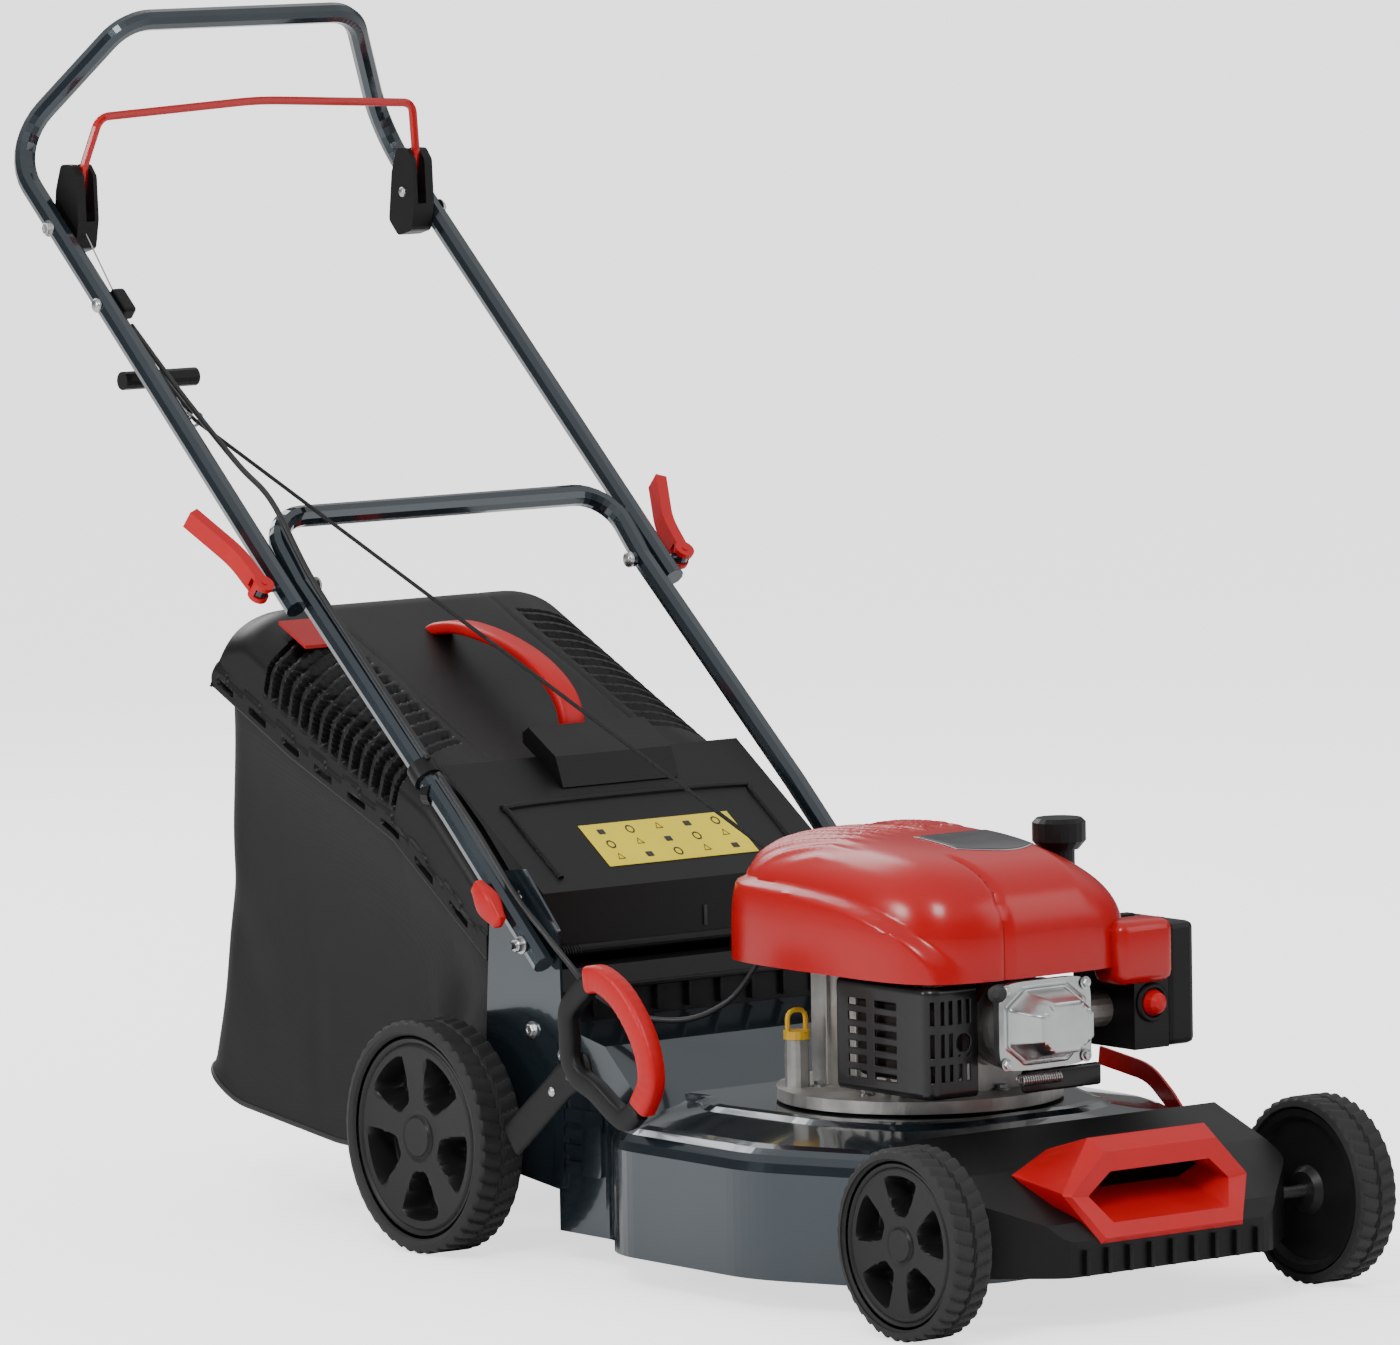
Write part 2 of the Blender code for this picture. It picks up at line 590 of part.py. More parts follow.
def carry_handle():
    """Plastic carry handle that follows the front cover's top, with a finger gap through it."""
    lift, thick = GAP + 0.0002, 0.008
    low = [(y, z + lift) for y, z in FASCIA_LINE[:3]] + [(-0.636, 0.150 + lift)]
    high = [(-0.634, 0.150 + thick)] + [(y, z + thick) for y, z in reversed(FASCIA_LINE[1:3])]
    grip = prism("carry_handle", [(-0.7615, 0.078), (-0.7575, 0.078)] + low + high + [(-0.7640, 0.091)],
                 -GRIP_HALF, GRIP_HALF, "X", "plastic_red")
    cut(grip, block("finger_gap", (-GRIP_OPENING, -0.742, 0.05), (GRIP_OPENING, -0.698, 0.19), "plastic_red"))
    for sign in (1.0, -1.0):
        chamfer = prism("corner", [(sign * 0.085, -0.78), (sign * 0.125, -0.78), (sign * 0.125, -0.690)],
                        0.05, 0.20, "Z", "plastic_red")
        cut(grip, chamfer)


def discharge_chute():
    """Plastic tunnel from the deck to the catcher; it also carries the rear flap's hinge pin."""
    chute = prism("discharge_chute", [
        (DECK_REAR_Y + GAP, REAR_SILL), (0.030, REAR_SILL), (0.030, 0.262), (-0.026, 0.282),
        (-0.060, 0.282), (DECK_REAR_Y + GAP, 0.262)], -CHUTE_OUTER, CHUTE_OUTER, "X", "plastic_black")
    cut(chute, block("tunnel", (-CHUTE_HALF, -0.09, REAR_SILL + 0.003),
                     (CHUTE_HALF, 0.04, TUNNEL_TOP - DECK_SHEET), "plastic_black"))
    pin = rod("pin", (-FLAP_HALF - 0.006, *FLAP_HINGE), "X", 2 * FLAP_HALF + 0.012, SIDE_PIN_R, "zinc",
              sides=10)
    for sign in (1.0, -1.0):
        low, high = sorted((sign * (FLAP_HALF + 0.001), sign * (FLAP_HALF + 0.005)))
        lug = prism("lug", outline([(-0.045, 0.27), (-0.021, 0.27), (-0.024, 0.303), (-0.042, 0.303)],
                                   0.006, 2),
                    low, high, "X", "plastic_black")
        join(chute, lug)
    join(chute, pin)


def discharge_flap():
    """Spring flap over the chute: hinge barrel, front face, sloping top, side cheeks and a lifting tab."""
    y0, z0 = FLAP_HINGE
    outer = [(y0 - 0.003, z0), (y0 - 0.003, 0.3545), (0.128, 0.4675)]
    inner = [(0.1295, 0.4640), (y0, 0.3520), (y0, z0)]
    flap = prism("discharge_flap", outer + inner, -FLAP_HALF, FLAP_HALF, "X", "plastic_black")
    barrel = rod("barrel", (-FLAP_HALF, y0, z0), "X", 2 * FLAP_HALF, 0.0065, "plastic_black", sides=14)
    tab = prism("tab", [(0.086, 0.440), (0.098, 0.470), (0.142, 0.496), (0.152, 0.490), (0.152, 0.480),
                        (0.127, 0.465)], -0.066, 0.078, "X", "plastic_black")
    join(flap, barrel, tab)
    for sign in (1.0, -1.0):
        low, high = sorted((sign * (FLAP_HALF - FLAP_T), sign * FLAP_HALF))
        cheek = prism("cheek", [(y0 - 0.002, z0), (y0 - 0.002, 0.354), (0.126, 0.465), (0.060, 0.413),
                                (0.020, 0.375), (-0.008, 0.312)], low, high, "X", "plastic_black")
        join(flap, cheek)
    cut(flap, rod("bore", (-0.22, y0, z0), "X", 0.44, SIDE_PIN_R + FIT, "plastic_black", sides=12))
    hang([flap], (0.0, y0, z0))


# ---------------------------------------------------------------- cutting height
def height_rack():
    """Toothed plate on the deck's right side that the height lever clicks into."""
    inner = -(DECK_REAR_HALF + GAP)
    rack = prism("height_rack", outline([(-0.146, 0.088), (-0.0895, 0.088), (-0.0895, 0.152),
                                         (-0.146, 0.152)],
                                        0.004, 2), inner - PLATE_T, inner, "X", "steel_paint")
    for z in (0.104, 0.120, 0.136):
        cut(rack, block("notch", (inner - 0.01, -0.115, z - 0.003), (inner + 0.01, -0.080, z + 0.003),
                        "steel_paint"))


def height_lever():
    """Steel arm that turns on a stud in the right side plate, with a curved plastic grip on its outside."""
    y0, z0 = LEVER_PIVOT
    inner = -(DECK_REAR_HALF + GAP + PLATE_T + GAP)
    arm = prism("height_lever", outline([
        (y0 + 0.010, z0 - 0.004), (y0 - 0.004, z0 - 0.010), (-0.140, 0.160), (-0.215, 0.176), (-0.262, 0.162),
        (-0.272, 0.180), (-0.240, 0.222), (-0.205, 0.262), (-0.182, 0.284), (-0.172, 0.276), (-0.195, 0.236),
        (-0.205, 0.215), (-0.187, 0.222), (-0.128, 0.212), (-0.112, 0.180)], 0.006, 2),
        LEVER_X - 0.005, LEVER_X, "X", "plastic_black")
    boss = rod("boss", (inner, y0, z0), "-X", -LEVER_X + inner + 0.003, 0.009, "plastic_black", sides=16)
    join(arm, boss)
    path = [(p.x, p.y) for p in fillet([(-0.188, 0.298, 0), (-0.228, 0.268, 0), (-0.272, 0.215, 0),
                                        (-0.280, 0.170, 0)], 0.06, 3)]
    grip = prism("height_lever_grip", band(path, 0.034), LEVER_X - 0.019, LEVER_X - 0.005 - GAP, "X",
                 "plastic_red")
    round_off(grip, 0.004)
    hang([arm, grip], (LEVER_X, y0, z0))


# ---------------------------------------------------------------- engine
def engine_block():
    """Round sump flange, crankcase above it and the oil filler's neck."""
    base = rod("engine_block", (0, CRANK_Y, ENGINE_BASE_Z), "Z", 0.012, 0.138, "aluminium", sides=40)
    case = block("case", (-0.072, CASE_FRONT_Y, ENGINE_BASE_Z + 0.010),
                 (0.072, CRANK_Y + 0.075, CASE_TOP), "aluminium")
    neck = rod("neck", (*OIL_PLACE, ENGINE_BASE_Z + 0.010), "Z", OIL_TOP - ENGINE_BASE_Z - 0.010, 0.012,
               "aluminium", sides=16)
    join(base, case, neck)
    cut(base, rod("crank_bore", (0, CRANK_Y, 0.15), "Z", 0.20, CRANK_R + FIT, "aluminium", sides=20))
    cut(base, rod("oil_bore", (*OIL_PLACE, OIL_TOP - 0.040), "Z", 0.06, 0.008, "aluminium", sides=12))


def cylinder():
    """Finned cylinder that points forward from the crankcase."""
    length = CASE_FRONT_Y - HEAD_FRONT_Y - 2 * GAP
    fins, root_r, fin_r = 5, 0.036, 0.045
    pitch = length / fins
    profile = [(0.0, length)]
    for i in range(fins):
        top = length - i * pitch
        profile += [(fin_r, top), (fin_r, top - 0.4 * pitch), (root_r, top - 0.4 * pitch),
                    (root_r, top - pitch)]
    profile.append((0.0, 0.0))
    turned("cylinder", profile, (HEAD_X, CASE_FRONT_Y - GAP, HEAD_Z), "-Y", "aluminium", steps=14)


def rocker_cover():
    """Pressed valve cover on the cylinder's front, with a raised middle."""
    rear = HEAD_FRONT_Y - GAP
    cover = round_off(block("rocker_cover", (-0.070, rear - 0.026, 0.222), (0.042, rear, 0.306), "zinc"),
                      0.008)
    raised = round_off(block("raised", (-0.056, rear - 0.044, 0.232), (0.030, rear - 0.010, 0.297),
                             "zinc"), 0.008)
    join(cover, raised)


def exhaust():
    """Silencer can and the slotted plastic guard round it."""
    low, high = (-0.132, -0.568, 0.198), (-0.0735, -0.428, 0.3045)
    round_off(block("muffler", (-0.122, -0.556, 0.210), (-0.0785, -0.440, 0.292), "zinc"), 0.010)
    guard = block("muffler_guard", low, high, "plastic_black")
    wall = 0.003
    cut(guard, block("room", (low[0] + wall, low[1] + wall, low[2] + wall),
                     (high[0] + 0.01, high[1] + 0.01, high[2] - wall), "plastic_black"))
    for row in range(2):
        for column in range(5):
            y = -0.548 + column * 0.022
            z = 0.213 + row * 0.042
            cut(guard, block("slot", (low[0] - 0.01, y, z), (low[0] + 0.006, y + 0.010, z + 0.034),
                             "plastic_black"))


def shroud_ring(inset, z):
    west, east, front, rear = -0.150 + inset, 0.140 - inset, -0.592 + inset, -0.235 - inset
    corners = [(west, front, z), (east, front, z), (east, rear, z), (west, rear, z)]
    ring = fillet(corners, max(0.060 - inset * 0.6, 0.02), 4, closed=True)
    height = max(0.0, (z - SHROUD_BOTTOM) / (SHROUD_TOP - SHROUD_BOTTOM))
    return [(p.x, p.y, z - height * SHROUD_FALL * max(0.0, p.x - 0.050)) for p in ring]


def shroud_solid(name, t):
    """Rounded engine cover, or the hollow inside it."""
    levels = [(0.0, SHROUD_BOTTOM - (0.01 if t else 0.0)), (0.001, 0.350), (0.010, 0.396), (0.026, 0.420),
              (0.060, SHROUD_TOP)]
    return loft(name, [shroud_ring(inset + t, z - (t if i else 0.0)) for i, (inset, z) in enumerate(levels)],
                "paint_red")


def shroud():
    """Painted cover over the flywheel, cut round the air box and the fuel neck."""
    cover = shroud_solid("shroud", 0.0)
    cut(cover, shroud_solid("hollow", SHROUD_SHEET))
    low, high = AIR_BOX
    cut(cover, block("air_box_room", (low[0] - 0.001, -0.62, 0.28), (0.2, high[1] + 0.001, high[2] + 0.001),
                     "paint_red"))
    cut(cover, rod("neck_hole", (*FUEL_PLACE, 0.34), "Z", 0.12, FUEL_NECK_R + 0.001, "paint_red", sides=20))
    cut(cover, rod("rope_hole", (ROPE_OUTLET[0], -0.26, ROPE_OUTLET[2]), "Y", 0.05, 0.006, "paint_red",
                   sides=12))


def fuel_tank():
    """Plastic tank inside the shroud, with its filler neck and screw cap."""
    tank = block("fuel_tank", (0.083, -0.482, 0.312), (0.128, -0.310, 0.342), "plastic_black",
                 rounded_by=0.005)
    neck = rod("neck", (*FUEL_PLACE, 0.336), "Z", FUEL_TOP - 0.336, FUEL_NECK_R, "plastic_black", sides=20)
    join(tank, neck)
    cap = turned("fuel_cap", [(0.0, 0.030), (0.022, 0.030), (0.026, 0.026), (0.026, 0.008), (0.019, 0.0),
                              (0.0, 0.0)], (*FUEL_PLACE, FUEL_TOP + GAP), "Z", "plastic_black", steps=20)
    hang([cap], (*FUEL_PLACE, FUEL_TOP))


def intake():
    """Air box with its hinged cover, the carburettor and the primer bulb."""
    low, high = AIR_BOX
    wall = 0.003
    box = block("air_box", low, high, "plastic_black")
    cut(box, block("room", (low[0] + wall, low[1] + wall, low[2] + wall),
                   (high[0] + 0.01, high[1] - wall, high[2] - wall), "plastic_black"))
    cut(box, rod("bulb_hole", (PRIMER_X, low[1] - 0.01, PRIMER_Z), "Y", 0.03, PRIMER_R + FIT,
                 "plastic_black", sides=20))
    x0 = high[0] + GAP
    cover = round_off(block("air_filter_cover", (x0, low[1], low[2]), (x0 + 0.033, high[1], high[2]),
                            "plastic_black"), 0.006)
    cut(cover, block("room", (x0 - 0.01, low[1] + wall, low[2] + wall),
                     (x0 + 0.033 - wall, high[1] - wall, high[2] - wall), "plastic_black"))
    hang([cover], (x0, (low[1] + high[1]) / 2, high[2]))
    barrel = rod("carburettor", (HEAD_X + 0.048, -0.535, 0.262), "X", low[0] - GAP - HEAD_X - 0.048, 0.017,
                 "aluminium", sides=18)
    bowl = rod("bowl", (0.072, -0.535, 0.218), "Z", 0.04, 0.015, "aluminium", sides=18)
    join(barrel, bowl)
    bulb = turned("primer_bulb", [(0.0, 0.015), (0.006, 0.0135), (0.010, 0.010), (PRIMER_R, 0.003),
                                  (PRIMER_R, -0.002), (0.0, -0.002)],
                  (PRIMER_X, low[1], PRIMER_Z), "-Y", "plastic_red", steps=18)
    hang([bulb], (PRIMER_X, low[1], PRIMER_Z))


def small_engine_parts():
    rod("spark_plug_boot", (-0.058, -0.5945, 0.3265), "-Y", 0.034, 0.0085, "rubber", sides=14)
    stick = rod("dipstick", (*OIL_PLACE, OIL_TOP - 0.036), "Z", 0.045, 0.003, "yellow", sides=8)
    cap = rod("cap", (*OIL_PLACE, OIL_TOP + GAP), "Z", 0.008, 0.013, "yellow", sides=16)
    loop = fillet([(OIL_PLACE[0] - 0.011, OIL_PLACE[1], OIL_TOP + 0.004),
                   (OIL_PLACE[0] - 0.011, OIL_PLACE[1], OIL_TOP + 0.028),
                   (OIL_PLACE[0] + 0.011, OIL_PLACE[1], OIL_TOP + 0.028),
                   (OIL_PLACE[0] + 0.011, OIL_PLACE[1], OIL_TOP + 0.004)], 0.008, 3)
    join(stick, cap, tube("loop", loop, 0.0025, "yellow", keep_curve=False))
    hang([stick], (*OIL_PLACE, OIL_TOP))


def crank_train():
    """Crankshaft with its blade flange, flywheel, blade and blade bolt."""
    blade_top = BLADE_Z + BLADE_T
    shaft = rod("crankshaft", (0, CRANK_Y, blade_top + GAP), "Z", 0.348 - blade_top, CRANK_R, "zinc",
                sides=20)
    flange = rod("flange", (0, CRANK_Y, blade_top + GAP), "Z", 0.010, 0.026, "zinc", sides=20)
    join(shaft, flange)
    cut(shaft, rod("thread", (0, CRANK_Y, blade_top - 0.01), "Z", 0.035, 0.0056, "zinc", sides=12))
    wheel_disc = rod("flywheel", (0, CRANK_Y, 0.322), "Z", 0.022, 0.074, "aluminium", sides=28)
    cut(wheel_disc, rod("bore", (0, CRANK_Y, 0.31), "Z", 0.05, CRANK_R + GAP, "aluminium", sides=20))
    tip, root = BLADE_WIDTH / 2, BLADE_LENGTH / 2
    blade = prism("blade", outline([(-root, CRANK_Y - tip), (root, CRANK_Y - tip), (root, CRANK_Y + tip),
                                    (-root, CRANK_Y + tip)], 0.006, 2), BLADE_Z, blade_top, "Z", "zinc")
    cut(blade, rod("bore", (0, CRANK_Y, BLADE_Z - 0.01), "Z", 0.03, 0.0056, "zinc", sides=12))
    bolt = rod("blade_bolt", (0, CRANK_Y, BLADE_Z - GAP - 0.008), "Z", 0.008, 0.011, "zinc", sides=6)
    join(bolt, rod("shank", (0, CRANK_Y, BLADE_Z - 0.004), "Z", 0.024, 0.005, "zinc", sides=12))
    hang([shaft, wheel_disc, blade, bolt], (0, CRANK_Y, blade_top))


# ---------------------------------------------------------------- handles
def lower_handle():
    """Inverted U of steel tube, bolted low on each side plate."""
    foot = (LOWER_PIVOT[0] - 0.020, LOWER_PIVOT[1] - 0.020 * TUBE_SLOPE[1] / TUBE_SLOPE[0])
    bend = (foot[0] + TUBE_SLOPE[0], foot[1] + TUBE_SLOPE[1])
    half = [foot, bend, FOLD_PIVOT, CROSSBAR]
    path = [(-LOWER_X, y, z) for y, z in half] + [(LOWER_X, y, z) for y, z in reversed(half)]
    path = fillet(path, [0, 0.08, 0, 0.05, 0.05, 0, 0.08, 0], 8)
    handle = tube("lower_handle", path, TUBE_R, "steel_paint", resolution=3, keep_curve=False)
    knob = polar(LOWER_PIVOT, KNOB_REACH, TILT_ANGLE)
    for sign in (1.0, -1.0):
        for y, z in (LOWER_PIVOT, knob, FOLD_PIVOT):
            cut(handle, rod("bore", (sign * (LOWER_X - 0.02), y, z), sided("X", sign), 0.04,
                            BOLT_R + FIT, "steel_paint", sides=12))
    clip_y, clip_z = CLIP_PLACE
    clip = rod("cable_clip", (-LOWER_X, clip_y - 0.006, clip_z - 0.0054), "Y", 0.012, TUBE_R + 0.0025,
               "plastic_black", sides=16)
    cut(clip, tube("room", path, TUBE_R + GAP, "plastic_black", resolution=3, keep_curve=False))
    return knob


def wing_knobs(place):
    """Winged clamp knobs whose bolts pass through the lower tube and the slotted side plate."""
    for side, sign in sides():
        outside = LOWER_X + TUBE_R + 0.0006
        low, high = sorted((sign * outside, sign * (outside + 0.016)))
        along = Vector((math.cos(math.radians(TILT_ANGLE)), math.sin(math.radians(TILT_ANGLE))))
        wings = [tuple(Vector(place) + along.orthogonal().normalized() * s) for s in (-0.022, 0.022)]
        knob = prism("wing_knob_" + side, outline(band(wings, 0.018), 0.006, 2), low, high, "X",
                     "plastic_red")
        stem = DECK_REAR_HALF + GAP - 0.0006 - 0.004
        shank = rod("shank", (sign * stem, *place), sided("X", sign), outside - stem + 0.004, BOLT_R,
                    "zinc", sides=12)
        head = rod("head", (sign * stem, *place), sided("X", sign), 0.004, 0.0065, "zinc", sides=12)
        join(knob, shank, head)
        hang([knob], (sign * outside, *place))


def tube_direction():
    """Unit vector up the upper handle's side tubes."""
    run = Vector((0.0, UPPER_BEND[0] - FOLD_PIVOT[0], UPPER_BEND[1] - FOLD_PIVOT[1]))
    return run.normalized()


def on_upper_tube(distance, x=0.0):
    """A point along the upper side tube, measured up from the fold pivot."""
    return Vector((x, *FOLD_PIVOT)) + tube_direction() * distance


def upper_handle():
    """Push handle: two side tubes, corners that turn inwards, a top bar and the quick-release studs."""
    foot = on_upper_tube(-0.030)
    half = [(UPPER_X, foot.y, foot.z), (UPPER_X, *UPPER_BEND), (TOP_BAR_HALF, *TOP_BAR)]
    path = half + [(-x, y, z) for x, y, z in reversed(half)]
    handle = tube("upper_handle", fillet(path, [0, 0.065, 0.050, 0.050, 0.065, 0], 9), TUBE_R, "steel_paint",
                  resolution=3, keep_curve=False)
    for sign in (1.0, -1.0):
        start = LOWER_X - TUBE_R - 0.0006
        stud = rod("stud", (sign * (start - 0.003), *FOLD_PIVOT), sided("X", sign), EYE_X - start + 0.003,
                   BOLT_R, "zinc", sides=12)
        head = rod("head", (sign * start, *FOLD_PIVOT), sided("X", -sign), 0.006, 0.008, "zinc", sides=14,
                   end_radius=0.004)
        eye = local_rod("eye", sign, 0.0085, 0.0042, 14)
        join(handle, stud, head, eye)
        cut(handle, local_rod("eye_bore", sign, PIN_R + FIT, 0.02, 12))


def local_frame(sign):
    """Axes of a quick-release lever: outwards, up the tube, and their cross product."""
    outwards = Vector((sign, 0.0, 0.0))
    along = tube_direction()
    across = outwards.cross(along)
    turn = Matrix((outwards, along, across)).transposed().to_4x4()
    return Matrix.Translation((sign * EYE_X, *FOLD_PIVOT)) @ turn


def local_rod(name, sign, radius, half, sides_count):
    piece = rod(name, (0, 0, -half), "Z", 2 * half, radius, "zinc", sides=sides_count)
    piece.matrix_world = local_frame(sign)
    return piece


def quick_releases():
    """Cam levers: a forked head round the stud's eye, its cross pin, and a paddle that curves outwards."""
    for side, sign in sides():
        path = [(p.x, p.y) for p in fillet([(-0.001, -0.006, 0), (0.004, 0.045, 0), (0.030, 0.104, 0)],
                                           0.09, 4)]
        lever = prism("quick_release_" + side, band(path, 0.012), -0.010, 0.010, "Z", "plastic_red")
        head = rod("head", (0, 0, -0.010), "Z", 0.020, 0.0105, "plastic_red", sides=18)
        join(lever, head)
        cut(lever, block("fork", (-0.030, -0.030, -0.0048), (0.0095, 0.0125, 0.0048), "plastic_red"))
        join(lever, rod("pin", (0, 0, -0.0110), "Z", 0.022, PIN_R, "zinc", sides=12))
        lever.matrix_world = local_frame(sign)
        for modifier in lever.modifiers:
            modifier.object.matrix_world = local_frame(sign)


def brake_bail():
    """Wire bail hinged in two plastic brackets that clamp on the upper tube's inner sides."""
    y0, z0 = BAIL_PIVOT
    foot_x = UPPER_X - TUBE_R - 0.016
    half = [(foot_x, y0 + 0.0009, z0 - 0.004), (foot_x, y0 - 0.010, z0 + 0.045),
            (foot_x - 0.012, y0 - 0.022, z0 + 0.094)]
    path = half + [(0.0, y0 - 0.024, z0 + 0.104)] + [(-x, y, z) for x, y, z in reversed(half)]
    bail = tube("bail", fillet(path, [0, 0.02, 0.014, 0.5, 0.014, 0.02, 0], 4), BAIL_R, "paint_red",
                keep_curve=False)
    for side, sign in sides():
        low, high = sorted((sign * (foot_x - 0.010), sign * (UPPER_X - TUBE_R - 0.0006)))
        bracket = prism("bail_bracket_" + side, outline([
            (y0 - 0.020, z0 - 0.010), (y0 - 0.018, z0 + 0.034), (y0 - 0.008, z0 + 0.046),
            (y0 + 0.010, z0 + 0.046), (y0 + 0.020, z0 + 0.020), (y0 + 0.026, z0 - 0.030),
            (y0 + 0.010, z0 - 0.046), (y0 - 0.014, z0 - 0.040)],
            0.006, 2), low, high, "X", "plastic_black")
        cut(bracket, block("slot", (sign * foot_x - BAIL_R - 0.0008, y0 - 0.04, z0 - 0.012),
                           (sign * foot_x + BAIL_R + 0.0008, y0 + 0.04, z0 + 0.06), "plastic_black"))
        cut(bracket, rod("bore", (sign * foot_x - 0.0085, y0, z0), "X", 0.017, PIN_R + FIT,
                         "plastic_black", sides=12))
        join(bail, rod("pin", (sign * foot_x - 0.008, y0, z0), "X", 0.016, PIN_R, "zinc", sides=12))
    hang([bail], (0.0, y0, z0))
    stop = block("cable_stop", (-0.008, -0.016, -0.008), (0.008, 0.016, 0.008), "plastic_black",
                 rounded_by=0.003)
    place = on_upper_tube(STOP_DISTANCE, -(UPPER_X - TUBE_R - 0.0006 - 0.008))
    rise = math.atan2(tube_direction().z, tube_direction().y)
    stop.matrix_world = Matrix.Translation(place) @ Matrix.Rotation(rise, 4, "X")


# ---------------------------------------------------------------- starter


def starter():
    """T-shaped pull grip and the wire ring that guides its rope."""
    wire = []
    across = Vector((1.0, 0.0, 0.0))
    upright = PULL.cross(across)
    for k in range(11):
        angle = math.radians(30 * k - 75)
        wire.append(ROPE_RING + (across * math.cos(angle) + upright * math.sin(angle)) * 0.008)
    wire.append(wire[-1] + Vector((-0.007, 0.0, 0.004)))
    surface = Vector((-(UPPER_X - TUBE_R - 0.0024), wire[-1].y + 0.004, 0.0))
    surface.z = FOLD_PIVOT[1] + (surface.y - FOLD_PIVOT[0]) * tube_direction().z / tube_direction().y
    wire.append(surface)
    tube("rope_guide", wire, 0.0018, "zinc")
    stem_end = ROPE_RING + PULL * 0.012
    grip = rod("starter_grip", (0, 0, GAP), "Z", 0.060, 0.0055, "plastic_black", sides=14, end_radius=0.0085)
    turn = Vector((0, 0, 1)).rotation_difference(PULL).to_matrix().to_4x4()
    grip.matrix_world = Matrix.Translation(stem_end) @ turn
    bar = rod("bar", tuple(stem_end + PULL * 0.062 - Vector((0.045, 0, 0))), "X", 0.090, 0.0095,
              "plastic_black", sides=14)
    join(grip, bar)


# ---------------------------------------------------------------- grass catcher
def bag_profile(t):
    """(y, z) side outline of the bag under the lid's rim, drawn in by t."""
    floor = [(LID_FRONT_Y, MOUTH_BOTTOM), (0.085, 0.154), (0.145, 0.085), (0.290, 0.074), (0.480, 0.100),
             (0.545, 0.138)]
    rim = [(y, z - 0.0008) for y, z in reversed(LID_RIM)]
    if not t:
        return floor + rim
    inside = [(y - (t if i > 3 else 0.0), z + t) for i, (y, z) in enumerate(floor)]
    inside[0] = (LID_FRONT_Y - 0.02, MOUTH_BOTTOM + t)
    high = [(y - (t if i == 0 else 0.0), z + 0.02) for i, (y, z) in enumerate(rim)]
    high[-1] = (LID_FRONT_Y - 0.02, LID_RIM[0][1] + 0.02)
    return inside + high


def height_on(line, y):
    """Height of a (y, z) line at y, carried straight on past its ends."""
    for (y0, z0), (y1, z1) in zip(line, line[1:]):
        if y <= y1:
            break
    return z0 + (z1 - z0) * (y - y0) / (y1 - y0)


def lid_solid(name, t):
    """The lid's outer form with its rounded shoulders, or the hollow inside it."""
    top = LID_TOP + ((0.478, 0.596), (LID_REAR_Y, 0.572))
    front = LID_FRONT_Y - (0.02 if t else 0.0)
    stations = sorted({front, *(y for y, _ in LID_RIM[1:-1] + top[1:-1]), LID_REAR_Y})
    half, drop, rings = LID_HALF - t, 0.046, []
    for y in stations:
        low = height_on(LID_RIM, y) - (0.03 if t else 0.0)
        high = height_on(top, y) - t
        place = y - (t if y > 0.45 else 0.0)
        edge = [(half, low), (half, high - drop), (half - 0.014, high - 0.020), (half - 0.045, high - 0.004),
                (half - 0.075, high)]
        rings.append([(x, place, z) for x, z in edge] + [(-x, place, z) for x, z in reversed(edge)])
    return loft(name, rings, "plastic_black")


def catcher():
    """Fabric bag under a moulded lid, with a carry handle and a fill indicator on top."""
    bag = prism("catcher_bag", bag_profile(0.0), -CATCHER_HALF, CATCHER_HALF, "X", "fabric")
    cut(bag, prism("room", bag_profile(BAG_SHEET), -CATCHER_HALF + BAG_SHEET, CATCHER_HALF - BAG_SHEET,
                   "X", "fabric"))
    lid = lid_solid("catcher_lid", 0.0)
    cut(lid, lid_solid("room", LID_SHEET))
    rise = (LID_TOP[2][1] - LID_TOP[1][1]) / (LID_TOP[2][0] - LID_TOP[1][0])

    def above(y, height):
        return (y, LID_TOP[1][1] + (y - LID_TOP[1][0]) * rise + height)

    path = [(p.x, p.y) for p in fillet([(*above(0.176, -0.005), 0), (*above(0.180, 0.042), 0),
                                        (*above(0.350, 0.046), 0), (*above(0.378, -0.005), 0)],
                                       [0, 0.03, 0.04, 0], 4)]
    handle = prism("catcher_handle", band(path, 0.011), -0.016, 0.016, "X", "plastic_red")
    cut(handle, prism("lid_room", [above(0.13, GAP), above(0.43, GAP), above(0.43, -0.05),
                                   above(0.13, -0.05)],
                      -0.03, 0.03, "X", "plastic_red"))
    indicator = prism("fill_indicator", [above(0.366, 0.0006), above(0.412, 0.0006), above(0.412, 0.0040),
                                         above(0.366, 0.0040)], -0.176, -0.120, "X", "plastic_red")
    hang([indicator], (-0.148, *above(0.366, 0.0023)))


# ---------------------------------------------------------------- cords
def smooth_route(points, spacing):
    """A smooth curve through a route's points, as evenly spaced points (Catmull-Rom)."""
    points = [Vector(p) for p in points]
    padded = [2 * points[0] - points[1]] + points + [2 * points[-1] - points[-2]]
    fine = []
    for i in range(1, len(padded) - 2):
        a, b, c, d = padded[i - 1:i + 3]
        for k in range(20):
            t = k / 20
            fine.append(0.5 * (2 * b + (c - a) * t + (2 * a - 5 * b + 4 * c - d) * t ** 2
                               + (3 * b - a - 3 * c + d) * t ** 3))
    fine.append(points[-1])
    total = sum((q - p).length for p, q in zip(fine, fine[1:]))
    count = max(2, round(total / spacing))
    route, walked, target = [fine[0]], 0.0, total / count
    for p, q in zip(fine, fine[1:]):
        step = (q - p).length
        while walked + step >= target and len(route) < count:
            route.append(p + (q - p) * ((target - walked) / step))
            target += total / count
        walked += step
    route.append(fine[-1])
    return route


def taut(start, end, pieces=8):
    """Evenly spaced points along a straight pull of rope."""
    return [start.lerp(end, k / pieces) for k in range(pieces + 1)]


